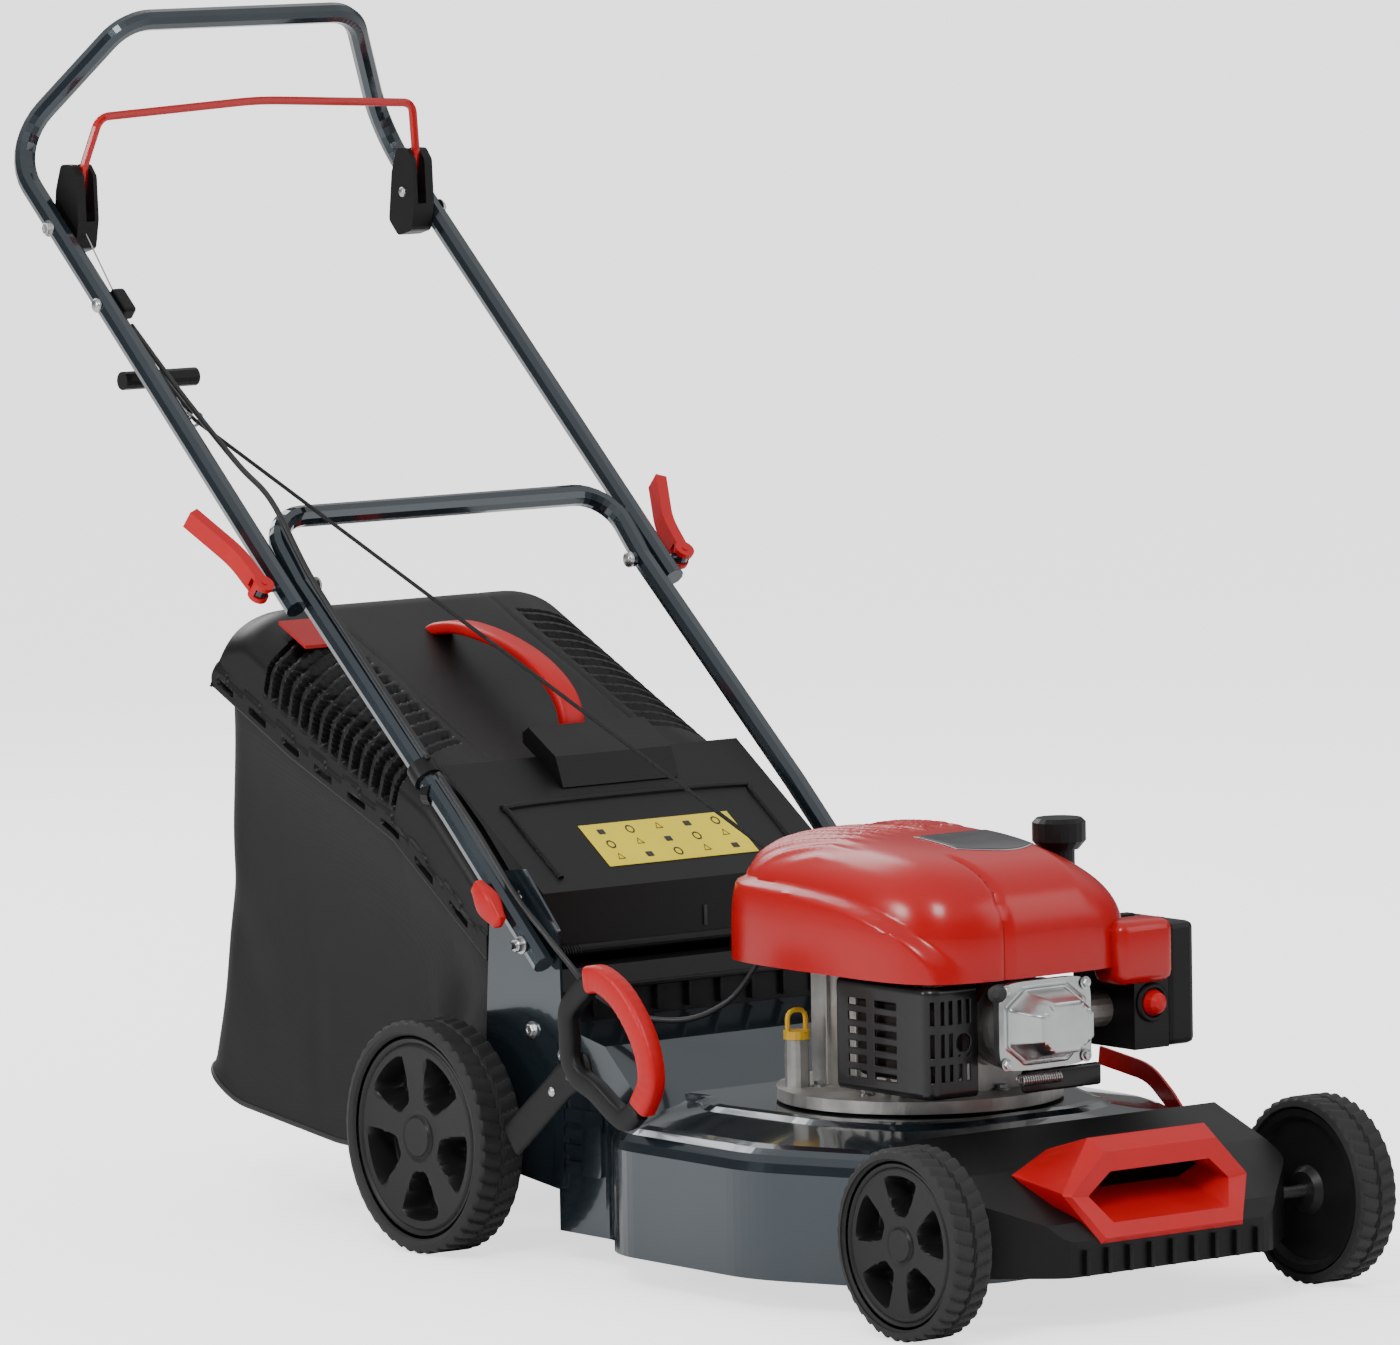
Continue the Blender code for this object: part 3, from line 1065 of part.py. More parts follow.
def cords():
    """Starter rope in two lengths and the brake cable in two, so that each end moves with its holder."""
    outlet = Vector(ROPE_OUTLET)
    middle = Vector(ROPE_MIDDLE)
    ring_end = ROPE_RING + PULL * 0.0112
    apart = (ROPE_RING - middle).normalized() * GAP
    tube("starter_rope_lower", taut(outlet, middle - apart), ROPE_R, "rubber")
    tube("starter_rope_upper", taut(middle + apart, ROPE_RING) + [ring_end], ROPE_R, "rubber")
    tube("brake_cable_upper", smooth_route(BRAKE_UPPER, 0.022), CABLE_R, "rubber")
    tube("brake_cable_lower", smooth_route(BRAKE_LOWER, 0.018), CABLE_R, "rubber")


# ---------------------------------------------------------------- build
clear_scene()
PARTS = new_collection("push_lawn_mower")
CUTTERS = new_collection("cutters")

running_gear()
deck()
side_cover()
handle_brackets()
fascia()
carry_handle()
discharge_chute()
discharge_flap()
height_rack()
height_lever()
engine_block()
cylinder()
rocker_cover()
exhaust()
shroud()
fuel_tank()
intake()
small_engine_parts()
crank_train()
wing_knobs(lower_handle())
upper_handle()
quick_releases()
brake_bail()
starter()
catcher()
cords()
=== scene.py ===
import math

import bmesh
import bpy
import numpy as np
from mathutils import Matrix, Vector


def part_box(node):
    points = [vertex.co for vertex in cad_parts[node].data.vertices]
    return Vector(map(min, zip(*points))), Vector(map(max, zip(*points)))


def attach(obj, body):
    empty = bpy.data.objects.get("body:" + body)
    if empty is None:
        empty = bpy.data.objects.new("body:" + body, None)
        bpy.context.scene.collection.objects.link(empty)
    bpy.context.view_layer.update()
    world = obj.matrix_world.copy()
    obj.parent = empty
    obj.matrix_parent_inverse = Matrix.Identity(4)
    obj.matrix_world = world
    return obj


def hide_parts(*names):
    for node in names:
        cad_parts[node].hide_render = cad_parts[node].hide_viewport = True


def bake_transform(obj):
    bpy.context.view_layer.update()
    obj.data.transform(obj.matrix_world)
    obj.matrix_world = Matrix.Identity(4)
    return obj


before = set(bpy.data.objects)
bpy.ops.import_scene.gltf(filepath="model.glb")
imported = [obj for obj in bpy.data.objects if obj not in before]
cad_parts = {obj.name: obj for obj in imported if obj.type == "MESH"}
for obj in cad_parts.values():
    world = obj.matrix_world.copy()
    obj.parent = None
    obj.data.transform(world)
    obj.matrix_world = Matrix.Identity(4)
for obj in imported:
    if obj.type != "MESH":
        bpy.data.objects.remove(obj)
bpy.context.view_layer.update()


# The studio: a pale floor, four soft lamps and a sky that pales upwards, with the camera low at the mower's
# front right corner and far enough off that the machine looks almost flat in depth.
EYE = Vector((-6.0160, -7.8765, 1.5113))
TURN, DIP, ROLL = (math.radians(v) for v in (-37.559, 5.513, -0.9776))
back = Vector((math.sin(TURN) * math.cos(DIP), -math.cos(TURN) * math.cos(DIP), math.sin(DIP)))
right = Vector((math.cos(TURN), math.sin(TURN), 0))
up = back.cross(right)
side = right * math.cos(ROLL) + up * math.sin(ROLL)
top = up * math.cos(ROLL) - right * math.sin(ROLL)
lens = bpy.data.cameras.new("camera")
lens.lens, lens.sensor_width, lens.sensor_fit = 260.09, 36.0, "HORIZONTAL"
lens.clip_end = 200.0
camera = bpy.data.objects.new("camera", lens)
camera.matrix_world = Matrix((side, top, back)).transposed().to_4x4()
camera.location = EYE
bpy.context.scene.collection.objects.link(camera)
bpy.context.scene.camera = camera

FLOOR_GLOW, SKY_LIGHT, SKY_SEEN = 1.5, 0.78, 2.6


def plug(tree, sockets, values):
    """Fills sockets by name: another node's output is linked to one, and anything else is its value."""
    for socket, value in values.items():
        if isinstance(value, bpy.types.NodeSocket):
            tree.links.new(value, sockets[socket])
        else:
            sockets[socket].default_value = value


def add_node(tree, kind, values, **settings):
    """A shader node with its settings made and its sockets filled."""
    node = tree.nodes.new("ShaderNode" + kind)
    for setting, value in settings.items():
        setattr(node, setting, value)
    plug(tree, node.inputs, values)
    return node


bpy.ops.mesh.primitive_plane_add(size=160, location=(0, 0, -0.0005))
floor = bpy.context.object
floor.name = "floor"
floor_paint = bpy.data.materials.new("floor")
floor_paint.use_nodes = True
tree = floor_paint.node_tree
seen = add_node(tree, "LightPath", {}).outputs["Is Camera Ray"]
glow = add_node(tree, "Math", {0: seen, 1: FLOOR_GLOW}, operation="MULTIPLY").outputs["Value"]
plug(tree, tree.nodes["Principled BSDF"].inputs,
     {"Base Color": (0.97, 0.97, 0.97, 1), "Roughness": 0.85, "Emission Color": (1, 1, 1, 1),
      "Emission Strength": glow})
floor.data.materials.append(floor_paint)

for name, place, watts, size in (("key", (-3.2, -2.6, 3.4), 110, 1.3), ("fill", (2.6, -3.4, 2.2), 35, 2.5),
                                 ("rim", (0.5, 3.6, 3.0), 90, 2.4), ("strip", (-3.6, 1.2, 1.6), 45, 0.7)):
    lamp = bpy.data.lights.new(name, "AREA")
    lamp.energy, lamp.size = watts, size
    holder = bpy.data.objects.new(name, lamp)
    holder.location = place
    holder.rotation_euler = (Vector((0, -0.1, 0.45)) - Vector(place)).to_track_quat("-Z", "Y").to_euler()
    bpy.context.scene.collection.objects.link(holder)
world = bpy.data.worlds.new("sky")
world.use_nodes = True
tree = world.node_tree
split = add_node(tree, "SeparateXYZ", {"Vector": add_node(tree, "TexCoord", {}).outputs["Generated"]})
tones = add_node(tree, "ValToRGB", {"Fac": split.outputs["Z"]})
for tone, (height, grey) in enumerate(((0.05, 0.16), (0.30, 0.30), (0.55, 1.15))):
    stop = tones.color_ramp.elements[tone] if tone < 2 else tones.color_ramp.elements.new(height)
    stop.position, stop.color = height, (grey * 0.98, grey * 0.99, grey, 1)
plug(tree, tree.nodes["Background"].inputs, {"Color": tones.outputs["Color"], "Strength": SKY_LIGHT})
backdrop = add_node(tree, "Background", {"Color": (1, 1, 1, 1), "Strength": SKY_SEEN})
which = add_node(tree, "MixShader", {"Fac": add_node(tree, "LightPath", {}).outputs["Is Camera Ray"],
                                     1: tree.nodes["Background"].outputs["Background"],
                                     2: backdrop.outputs["Background"]})
plug(tree, tree.nodes["World Output"].inputs, {"Surface": which.outputs["Shader"]})
bpy.context.scene.world = world


# Wheels: a moulded plastic rim with five deep pockets between broad spokes, a plain round cap
# over the axle end, and a solid tread ring with slanted lugs on each side of a moulding line.
def surface(name, colour, roughness, metallic=0.0, grain=900.0, depth=0.03, mottle=0.12,
            patch=14.0, coat=0.0, shine=0.5, spread=0.08):
    """A finish from two object-space noises. Fine noise, scaled by grain, lifts the normal by depth.
    Broad noise, scaled by patch, moves the colour by mottle and the roughness by spread."""
    made = bpy.data.materials.new(name)
    made.use_nodes = True
    tree = made.node_tree
    place = add_node(tree, "TexCoord", {}).outputs["Object"]
    fine = add_node(tree, "TexNoise", {"Vector": place, "Scale": grain}).outputs["Fac"]
    broad = add_node(tree, "TexNoise", {"Vector": place, "Scale": patch, "Detail": 5.0}).outputs["Fac"]
    ramp = add_node(tree, "ValToRGB", {"Fac": broad})
    for stop, position, swing in zip(ramp.color_ramp.elements, (0.3, 0.7), (1 - mottle, 1 + mottle)):
        stop.position, stop.color = position, (*[min(1.0, c * swing) for c in colour], 1)
    rough = add_node(tree, "MapRange", {"Value": broad, "To Min": max(0.02, roughness - spread),
                                        "To Max": min(1.0, roughness + spread)})
    bump = add_node(tree, "Bump", {"Height": fine, "Strength": depth, "Distance": 0.001})
    plug(tree, tree.nodes["Principled BSDF"].inputs,
         {"Base Color": ramp.outputs["Color"], "Metallic": metallic, "Roughness": rough.outputs["Result"],
          "Specular IOR Level": shine, "Coat Weight": coat, "Coat Roughness": 0.06,
          "Normal": bump.outputs["Normal"]})
    return made


def squared(wave, power):
    """A sine or cosine raised to a power with its sign kept: below one it squares a circle's corners."""
    return np.sign(wave) * np.abs(wave) ** power


def grid_shape(grids, around=False, merge=1e-6, sliver=1e-7, cells=None):
    """Rows by columns of points, with a face on each four neighbours; around closes each row on
    itself. Points that meet are merged, so a row gathered to one point closes as a pole."""
    shape = bmesh.new()
    for points in grids:
        rows, columns = points.shape[:2]
        index = np.arange(rows * columns).reshape(rows, columns)
        if around:
            index = np.concatenate([index, index[:, :1]], axis=1)
        faces = np.stack([index[:-1, :-1], index[:-1, 1:], index[1:, 1:], index[1:, :-1]], axis=-1)
        faces = faces.reshape(-1, 4) if cells is None else faces[cells]
        mesh = bpy.data.meshes.new("grid")
        mesh.from_pydata(points.reshape(-1, 3).tolist(), [], faces.tolist())
        shape.from_mesh(mesh)
        bpy.data.meshes.remove(mesh)
    bmesh.ops.remove_doubles(shape, verts=shape.verts, dist=merge)
    bmesh.ops.dissolve_degenerate(shape, edges=shape.edges, dist=sliver)
    bmesh.ops.recalc_face_normals(shape, faces=shape.faces)
    return shape


def finished(name, shape, finish, body, sharp=180.0, stands_for=()):
    """The object of a mesh, smooth but for edges sharper than an angle, on the body that carries it."""
    mesh = bpy.data.meshes.new(name)
    shape.to_mesh(mesh)
    shape.free()
    mesh.shade_smooth()
    if sharp < 180:
        mesh.set_sharp_from_angle(angle=math.radians(sharp))
    mesh.materials.append(finish)
    piece = bpy.data.objects.new(name, mesh)
    bpy.context.scene.collection.objects.link(piece)
    if stands_for:
        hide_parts(*stands_for)
    if body:
        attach(piece, body)
    return piece


def grid_piece(name, points, finish, body, around=False, sharp=35.0, stands_for=()):
    """A piece from one grid, its faces turned outwards."""
    shape = grid_shape([points], around)
    if shape.calc_volume(signed=True) < 0:
        bmesh.ops.reverse_faces(shape, faces=shape.faces)
    return finished(name, shape, finish, body, sharp, stands_for)


def walled(piece, thick):
    """Gives a surface a wall behind its face."""
    wall = piece.modifiers.new("wall", "SOLIDIFY")
    wall.thickness, wall.offset = thick, -1.0


def eased(piece, width, over):
    """Rounds a piece's edges where they turn by more than an angle."""
    edge = piece.modifiers.new("edge", "BEVEL")
    edge.width, edge.segments, edge.limit_method, edge.angle_limit = width, 2, "ANGLE", math.radians(over)


def smooth_step(low, high, value):
    """0 below low, 1 above high, and 3t squared less 2t cubed between them."""
    t = np.clip((value - low) / (high - low), 0.0, 1.0)
    return t * t * (3 - 2 * t)


def along(stations, count):
    """Evenly spaced points along a broken line, keeping every corner: count points a stretch."""
    stations = np.array(stations, float)
    parts = [np.linspace(a, b, count, endpoint=False) for a, b in zip(stations[:-1], stations[1:])]
    return np.concatenate(parts + [stations[-1:]])


rim_plastic = surface("rim_plastic", (0.008, 0.0083, 0.0087), 0.44, grain=1400, depth=0.05, patch=30,
                      shine=0.32)
tread_rubber = surface("tread_rubber", (0.010, 0.0103, 0.0107), 0.68, grain=700, depth=0.10, mottle=0.3,
                       patch=40)
SPOKES = 5
RIM_SHARE = 0.865


def rim_points(radius, width, turn):
    """Distance from the axle by angle. The face is flat with a raised cap and an outer groove, and
    five rounded pockets sink where a point is inside their straight sides and inner and outer arcs."""
    rim = radius * RIM_SHARE
    face = np.concatenate([np.linspace(0, rim * 0.985, 64), [rim]])
    angle = np.linspace(0, 2 * np.pi, 180, endpoint=False)
    r, a = np.meshgrid(face, angle, indexing="ij")
    wedge = (a - turn + np.pi / SPOKES) % (2 * np.pi / SPOKES) - np.pi / SPOKES
    reach = r / rim
    half = 0.11 + 0.20 * np.clip((reach - 0.36) / 0.44, 0, 1)
    gap = np.stack([reach - 0.34, 0.83 - reach, half - np.abs(reach * np.sin(wedge))])
    inside = -np.log(np.exp(-gap * 32).sum(axis=0)) / 32
    sunk = smooth_step(0.0, 0.055, inside)
    x = width * (0.845 + 0.045 * reach ** 2)
    x = x + width * 0.045 * (1 - smooth_step(0.19, 0.205, reach))
    x = x - width * 0.02 * np.exp(-((reach - 0.225) / 0.012) ** 2)
    x = x - width * 0.035 * np.exp(-((reach - 0.925) / 0.014) ** 2) - width * 0.52 * sunk
    x = x - width * 0.12 * smooth_step(0.975, 1.0, reach)
    front = np.stack([x, r * np.cos(a), r * np.sin(a)], axis=-1)
    back_line = along([(width * 0.04, rim), (width * 0.04, rim - 0.007), (width * 0.20, rim - 0.011),
                       (width * 0.20, 0.024), (0.003, 0.018), (0.003, 0.0)], 3)
    back_x, back_r = back_line[:, :1], back_line[:, 1:]
    rear = np.stack([np.broadcast_to(back_x, (len(back_line), len(angle))), back_r * np.cos(angle),
                     back_r * np.sin(angle)], axis=-1)
    return np.concatenate([front, rear])


def tyre_points(radius, width, lugs):
    """A ring's outline by angle. Between grooves the tread is raised by a sawtooth of the angle, slanted
    one way on each half, and it falls away at the shoulders; a thin line stands in the middle."""
    inner = radius * RIM_SHARE + 0.0004
    line = along([(width * 0.90, inner), (width * 0.96, inner + 0.002), (width, radius - 0.0095),
                  (width * 0.965, radius - 0.0042)], 3)
    tread = np.linspace(0.955, 0.045, 41)[:, None] * width
    tread_line = np.concatenate([tread, np.full_like(tread, radius - 0.0032)], axis=1)
    end = line[::-1] * [-1, 1] + [width, 0]
    outline = np.concatenate([line, tread_line, end])
    angle = np.linspace(0, 2 * np.pi, lugs * 10, endpoint=False)
    x = np.broadcast_to(outline[:, :1], (len(outline), len(angle)))
    across = (x / width - 0.5) * 2
    phase = (angle[None, :] * lugs / (2 * np.pi) + 0.55 * np.abs(across) ** 1.5 + 0.5 * (across > 0)) % 1.0
    lift = smooth_step(0.0, 0.10, phase) * (1 - 0.75 * smooth_step(0.35, 0.95, phase))
    shoulder = 1 - smooth_step(0.80, 0.97, np.abs(across))
    centre = np.exp(-(across / 0.035) ** 2)
    on_tread = np.zeros((len(outline), 1))
    on_tread[len(line):len(line) + len(tread)] = 1
    r = outline[:, 1:] + on_tread * (0.0031 * np.maximum(lift * shoulder * (np.abs(across) > 0.05),
                                                         centre * 0.9)
                                     - 0.0012 * (1 - shoulder))
    r = np.minimum(r, radius)
    return np.stack([x, r * np.cos(angle), r * np.sin(angle)], axis=-1)


for end, lugs in (("front", 40), ("rear", 46)):
    for hand in ("left", "right"):
        body = f"{end}_wheel_{hand}"
        low, high = (np.array(v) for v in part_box(f"{body}_tyre"))
        radius, width = (high[2] - low[2]) / 2, high[0] - low[0]
        outwards = 1 if hand == "left" else -1
        centre = np.array([low[0] if outwards > 0 else high[0], (low[1] + high[1]) / 2,
                           (low[2] + high[2]) / 2])
        stretch = np.array([outwards, 1, 1])
        spoke_turn = 0.35 if end == "front" else 0.9
        grid_piece(f"{body}_rim_moulding", rim_points(radius, width, spoke_turn) * stretch + centre,
                   rim_plastic,
                   body, around=True, stands_for=[f"{body}_rim"])
        grid_piece(f"{body}_tread", tyre_points(radius, width, lugs) * stretch + centre, tread_rubber, body,
                   around=True, sharp=28, stands_for=[f"{body}_tyre"])


# Deck, handle tubes, brackets and height plate: pressed and drawn steel in one dark slate paint
# with a fine metallic flake under a clear gloss.
def wear_finish(nodes_in):
    """Gives named CAD nodes one finish."""
    for names, finish in nodes_in:
        for name in names:
            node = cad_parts[name]
            node.data.materials.clear()
            node.data.materials.append(finish)


slate_paint = surface("slate_paint", (0.020, 0.031, 0.040), 0.17, metallic=0.60, grain=2600, depth=0.012,
                      mottle=0.10,
                      patch=9, coat=0.9, spread=0.05)
bare_steel = surface("bare_steel", (0.55, 0.55, 0.54), 0.30, metallic=1.0, grain=900, depth=0.03, patch=50)
black_plastic = surface("black_plastic", (0.0038, 0.0038, 0.0040), 0.42, grain=1700, depth=0.08, patch=12,
                        shine=0.26)
red_plastic = surface("red_plastic", (0.50, 0.002, 0.004), 0.40, grain=1500, depth=0.04, mottle=0.05,
                      patch=18, shine=0.35)
red_paint = surface("red_paint", (0.43, 0.0010, 0.002), 0.26, grain=500, depth=0.008, mottle=0.04, patch=6,
                    shine=0.45,
                    spread=0.04)
burnt_steel = surface("burnt_steel", (0.035, 0.028, 0.024), 0.55, metallic=0.6, grain=500, depth=0.1,
                      mottle=0.4, patch=40)
cast_alloy = surface("cast_alloy", (0.42, 0.41, 0.39), 0.48, metallic=0.85, grain=420, depth=0.35,
                     mottle=0.25,
                     patch=30, spread=0.12)
plated_steel = surface("plated_steel", (0.50, 0.51, 0.51), 0.30, metallic=1.0, grain=700, depth=0.03,
                       patch=25)
black_rubber = surface("black_rubber", (0.016, 0.016, 0.017), 0.60, grain=900, depth=0.06, patch=60)
guard_paint = surface("guard_paint", (0.006, 0.006, 0.0065), 0.32, grain=800, depth=0.03, patch=20,
                      coat=0.15, shine=0.35)
yellow_plastic = surface("yellow_plastic", (0.75, 0.42, 0.015), 0.38, grain=900, depth=0.04, mottle=0.10,
                         patch=40)

wear_finish([
    (["deck", "handle_bracket_left", "handle_bracket_right", "height_rack", "lower_handle", "upper_handle"],
     slate_paint),
    (["discharge_chute", "fascia", "air_box", "fuel_tank", "cable_clip", "bail_bracket_left",
      "bail_bracket_right", "cable_stop", "starter_grip", "discharge_flap", "height_lever", "catcher_lid",
      "air_filter_cover", "fuel_cap"], black_plastic),
    (["muffler_guard"], guard_paint),
    (["carry_handle", "quick_release_left", "quick_release_right", "wing_knob_left", "wing_knob_right",
      "catcher_handle", "fill_indicator", "height_lever_grip", "primer_bulb"], red_plastic),
    (["shroud", "bail", "side_cover"], red_paint),
    (["engine_block", "cylinder", "carburettor", "flywheel"], cast_alloy),
    (["rocker_cover", "rope_guide", "blade_bolt"], plated_steel),
    (["front_axle", "rear_axle", "crankshaft", "blade"], bare_steel),
    (["muffler"], burnt_steel),
    (["spark_plug_boot", "starter_rope_lower", "starter_rope_upper", "brake_cable_lower",
      "brake_cable_upper"],
     black_rubber),
    (["dipstick"], yellow_plastic),
    (["catcher_bag"], black_plastic),
])


# Engine cover: one moulded hood in gloss red. Its side panel stands proud of a rounded chamfer,
# fine cooling ribs run over the crest, and a dark plain plate is set into the top.
HOOD = np.array(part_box("shroud"))
HOOD_MIDDLE = (HOOD[0] + HOOD[1]) / 2
HOOD_HALF = (HOOD[1] - HOOD[0]) / 2 - [0.010, 0.004, 0.0]
HOOD_BOTTOM, HOOD_RISE = HOOD[0][2], 0.124
PLAN_POWER, DOME_POWER = 4.4, 4.1
PANEL_PROUD = 0.010


def hood_height(x, y, reach):
    """Height where a point of the plan is reach of the way out from the crest: the rise times the
    q-th root of one less reach to the q, less a fall towards the front, and one towards the fuel cap."""
    dome = np.clip(1 - reach ** DOME_POWER, 0, 1) ** (1 / DOME_POWER)
    forward = np.clip((HOOD_MIDDLE[1] + 0.03 - y) / 0.2, 0, 1)
    fall = 0.016 * forward ** 1.6 + 0.34 * np.clip(x - 0.045, 0, None)
    z = HOOD_BOTTOM + dome * (HOOD_RISE - fall)
    ribbed = (smooth_step(-0.128, -0.116, x) * (1 - smooth_step(0.045, 0.06, x))
              * smooth_step(-0.412, -0.395, y) * (1 - smooth_step(-0.275, -0.262, y)))
    return z + 0.0024 * ribbed * np.maximum(0, np.cos(2 * np.pi * (x + 0.25 * (y + 0.3)) / 0.0140)) ** 0.6


def hood_points():
    """Rows run from the crest out to the rim and back inside, 2.5 mm in: a rounded rectangle in plan,
    cos and sin to the power 2 over p, by the dome's height. The panel below an arch stands proud."""
    lean = np.concatenate([np.linspace(0.0, 0.92, 54) ** 0.8, np.linspace(0.93, 1.0, 18)])
    reach = np.sin(lean * np.pi / 2)[:, None]
    angle = np.linspace(0, 2 * np.pi, 240, endpoint=False)[None, :]
    power = 2 / PLAN_POWER
    x = HOOD_MIDDLE[0] + HOOD_HALF[0] * reach * squared(np.cos(angle), power)
    y = HOOD_MIDDLE[1] + HOOD_HALF[1] * reach * squared(np.sin(angle), power)
    z = hood_height(x, y, reach)
    rear = HOOD[1][1] - 0.012
    arch = np.clip((rear - y) / 0.325, 0, None) ** 3 + np.clip((z - 0.285) / 0.098, 0, None) ** 3
    beyond = np.clip((y - rear) / 0.012, 0, 1)
    proud = (1 - smooth_step(0.98, 1.12, arch)) * (1 - beyond) * smooth_step(0.55, 0.8, reach)
    x = x - PANEL_PROUD * proud * (x < HOOD_MIDDLE[0])
    groove = np.exp(-((x + 0.062 - 0.10 * np.clip(-0.50 - y, 0, None)) / 0.0024) ** 2)
    groove = groove * smooth_step(-0.50, -0.53, y)
    y = y + 0.0034 * groove * (reach > 0.6)
    z = z - 0.0034 * groove * (reach < 0.97)
    outer = np.stack([x, y, z], axis=-1)
    middle = np.array([HOOD_MIDDLE[0], HOOD_MIDDLE[1], HOOD_BOTTOM])
    within = [1 - 0.005 / HOOD_HALF[0], 1 - 0.005 / HOOD_HALF[1], 0.975]
    return np.concatenate([outer, (outer[::-1] - middle) * within + middle])


grid_piece("engine_hood", hood_points(), red_paint, "root", around=True, sharp=50,
           stands_for=["shroud"])

badge_ink = surface("badge_ink", (0.025, 0.025, 0.028), 0.30, metallic=0.4, grain=600, depth=0.01, mottle=0.5,
                    patch=60, coat=0.5)
across, along_y = np.meshgrid(np.linspace(0, 1, 24), np.linspace(0, 1, 24), indexing="ij")
badge_x = -0.040 + 0.094 * across + 0.012 * (along_y - 0.5) * np.sin(np.pi * across)
badge_y = -0.438 - 0.078 * along_y * (0.78 + 0.22 * np.sin(np.pi * across))


def over_hood(x, y, lift):
    """A grid of plan points laid on the hood, lifted clear of it."""
    power = PLAN_POWER
    reach = (np.abs((x - HOOD_MIDDLE[0]) / HOOD_HALF[0]) ** power
             + np.abs((y - HOOD_MIDDLE[1]) / HOOD_HALF[1]) ** power) ** (1 / power)
    return np.stack([x, y, hood_height(x, y, reach) + lift], axis=-1)


def slab(name, top_points, thick, finish, body="root"):
    """A plate from a grid of points, with a wall of the given thickness behind it."""
    piece = grid_piece(name, top_points, finish, body)
    walled(piece, thick)
    eased(piece, thick * 0.4, 50)


slab("hood_plate", over_hood(badge_x, badge_y, 0.0011), 0.0008, badge_ink)
slab("hood_plate_edge", over_hood(0.007 + (badge_x - 0.007) * 1.045, -0.477 + (badge_y + 0.477) * 1.06,
                                  0.0006), 0.0005,
     plated_steel)


# Catcher lid: a moulded black cover. Chevron vents wrap its shoulders, seams run along its top, and
# a band round its foot carries the row of long clips that hold the bag.
LID = np.array(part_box("catcher_lid"))
LID_HALF_WIDTH = (LID[1][0] - LID[0][0]) / 2
LID_TOP = np.array([(0.035, 0.372), (0.130, 0.455), (0.440, 0.602), (0.478, 0.596), (0.497, 0.572)])
LID_RIM = np.array([(0.035, 0.2835), (0.190, 0.391), (0.360, 0.459), (0.497, 0.524)])
VENTS = 13
LID_WALL = 0.0022


def soft_line(y, knots, soften):
    """Height on a broken line, averaged over a short stretch each side so that its corners round."""
    shifts = np.linspace(-soften, soften, 9)
    return np.mean([np.interp(y + s, knots[:, 0], knots[:, 1]) for s in shifts], axis=0)


def lid_points():
    """Stations from front to back. Each is half an arch: up the side, over a quarter ellipse at the
    shoulder, and across a slightly crowned top. Vents, seams and clip pockets are sunk along it."""
    y = np.concatenate([np.linspace(0.0352, 0.480, 300), 0.497 - 0.017 * np.linspace(1, 0, 12) ** 2])
    foot = soft_line(y, LID_RIM, 0.006)[:, None]
    crest = soft_line(y, LID_TOP, 0.010)[:, None]
    rear_round = np.sqrt(np.clip(1 - ((y - 0.470) / 0.030).clip(0, 1) ** 2, 0, 1))[:, None]
    side = np.linspace(0, 1, 30)[None, :]
    turn = np.linspace(0, np.pi / 2, 34)[None, 1:]
    flat = np.linspace(0, 1, 46)[None, 1:]
    drop, crown = 0.042, 0.070
    inner = LID_HALF_WIDTH - crown
    x = np.concatenate([LID_HALF_WIDTH + 0 * side, inner + crown * np.cos(turn), inner * (1 - flat)], axis=1)
    x = x * np.ones_like(foot)
    z = np.concatenate([foot + (crest - drop - foot) * side, crest - drop + drop * np.sin(turn),
                        crest + 0 * flat], axis=1)
    y = y[:, None] * np.ones_like(x)
    z = foot + (z - foot) * (0.55 + 0.45 * rear_round)
    across = np.concatenate([side * 0.5, 0.5 + turn / np.pi, 1 + flat], axis=1) * np.ones_like(x)
    inwards = np.where(across < 0.5, 0, np.clip((across - 0.5) * 2, 0, 1))
    slant = y - 0.030 * np.abs(across - 0.72)
    run = (slant - 0.175) / (0.395 - 0.175)
    slot = smooth_step(0.10, 0.26, np.abs(((run * VENTS) % 1.0) - 0.5) * 2 - 0.22) * (run > 0) * (run < 1)
    zone = smooth_step(0.30, 0.34, across) * (1 - smooth_step(1.04, 1.10, across))
    low = z - foot
    band = 1 - smooth_step(0.020, 0.0225, low + 0.003 * np.sign(np.sin(2 * np.pi * (y - 0.05) / 0.056)))
    clip_at = (y - 0.05) / 0.056 % 1.0
    clip = (smooth_step(0.30, 0.33, clip_at) * (1 - smooth_step(0.80, 0.83, clip_at)) * (y > 0.06)
            * smooth_step(0.0075, 0.0085, low) * (1 - smooth_step(0.0125, 0.0135, low)))
    seam = np.exp(-((x - (0.108 - 0.02 * (y - 0.13))) / 0.0014) ** 2) * (y > 0.15)
    push = 0.0018 * band - 0.0085 * slot * zone - 0.005 * clip - 0.0016 * seam
    half = np.stack([x + push * np.cos(inwards * np.pi / 2), y, z + push * np.sin(inwards * np.pi / 2)],
                    axis=-1)
    whole = np.concatenate([half, (half * [-1, 1, 1])[:, -2::-1]], axis=1)
    last = whole[-1]
    shut = [np.stack([last[:, 0], last[:, 1], LID_RIM[-1][1] + (last[:, 2] - LID_RIM[-1][1]) * k],
                     axis=-1)[None]
            for k in (0.66, 0.33, 0.02)]
    return np.concatenate([whole] + shut)


lid = grid_piece("catcher_lid_moulding", lid_points(), black_plastic, "catcher", sharp=40,
                 stands_for=["catcher_lid"])
walled(lid, LID_WALL)


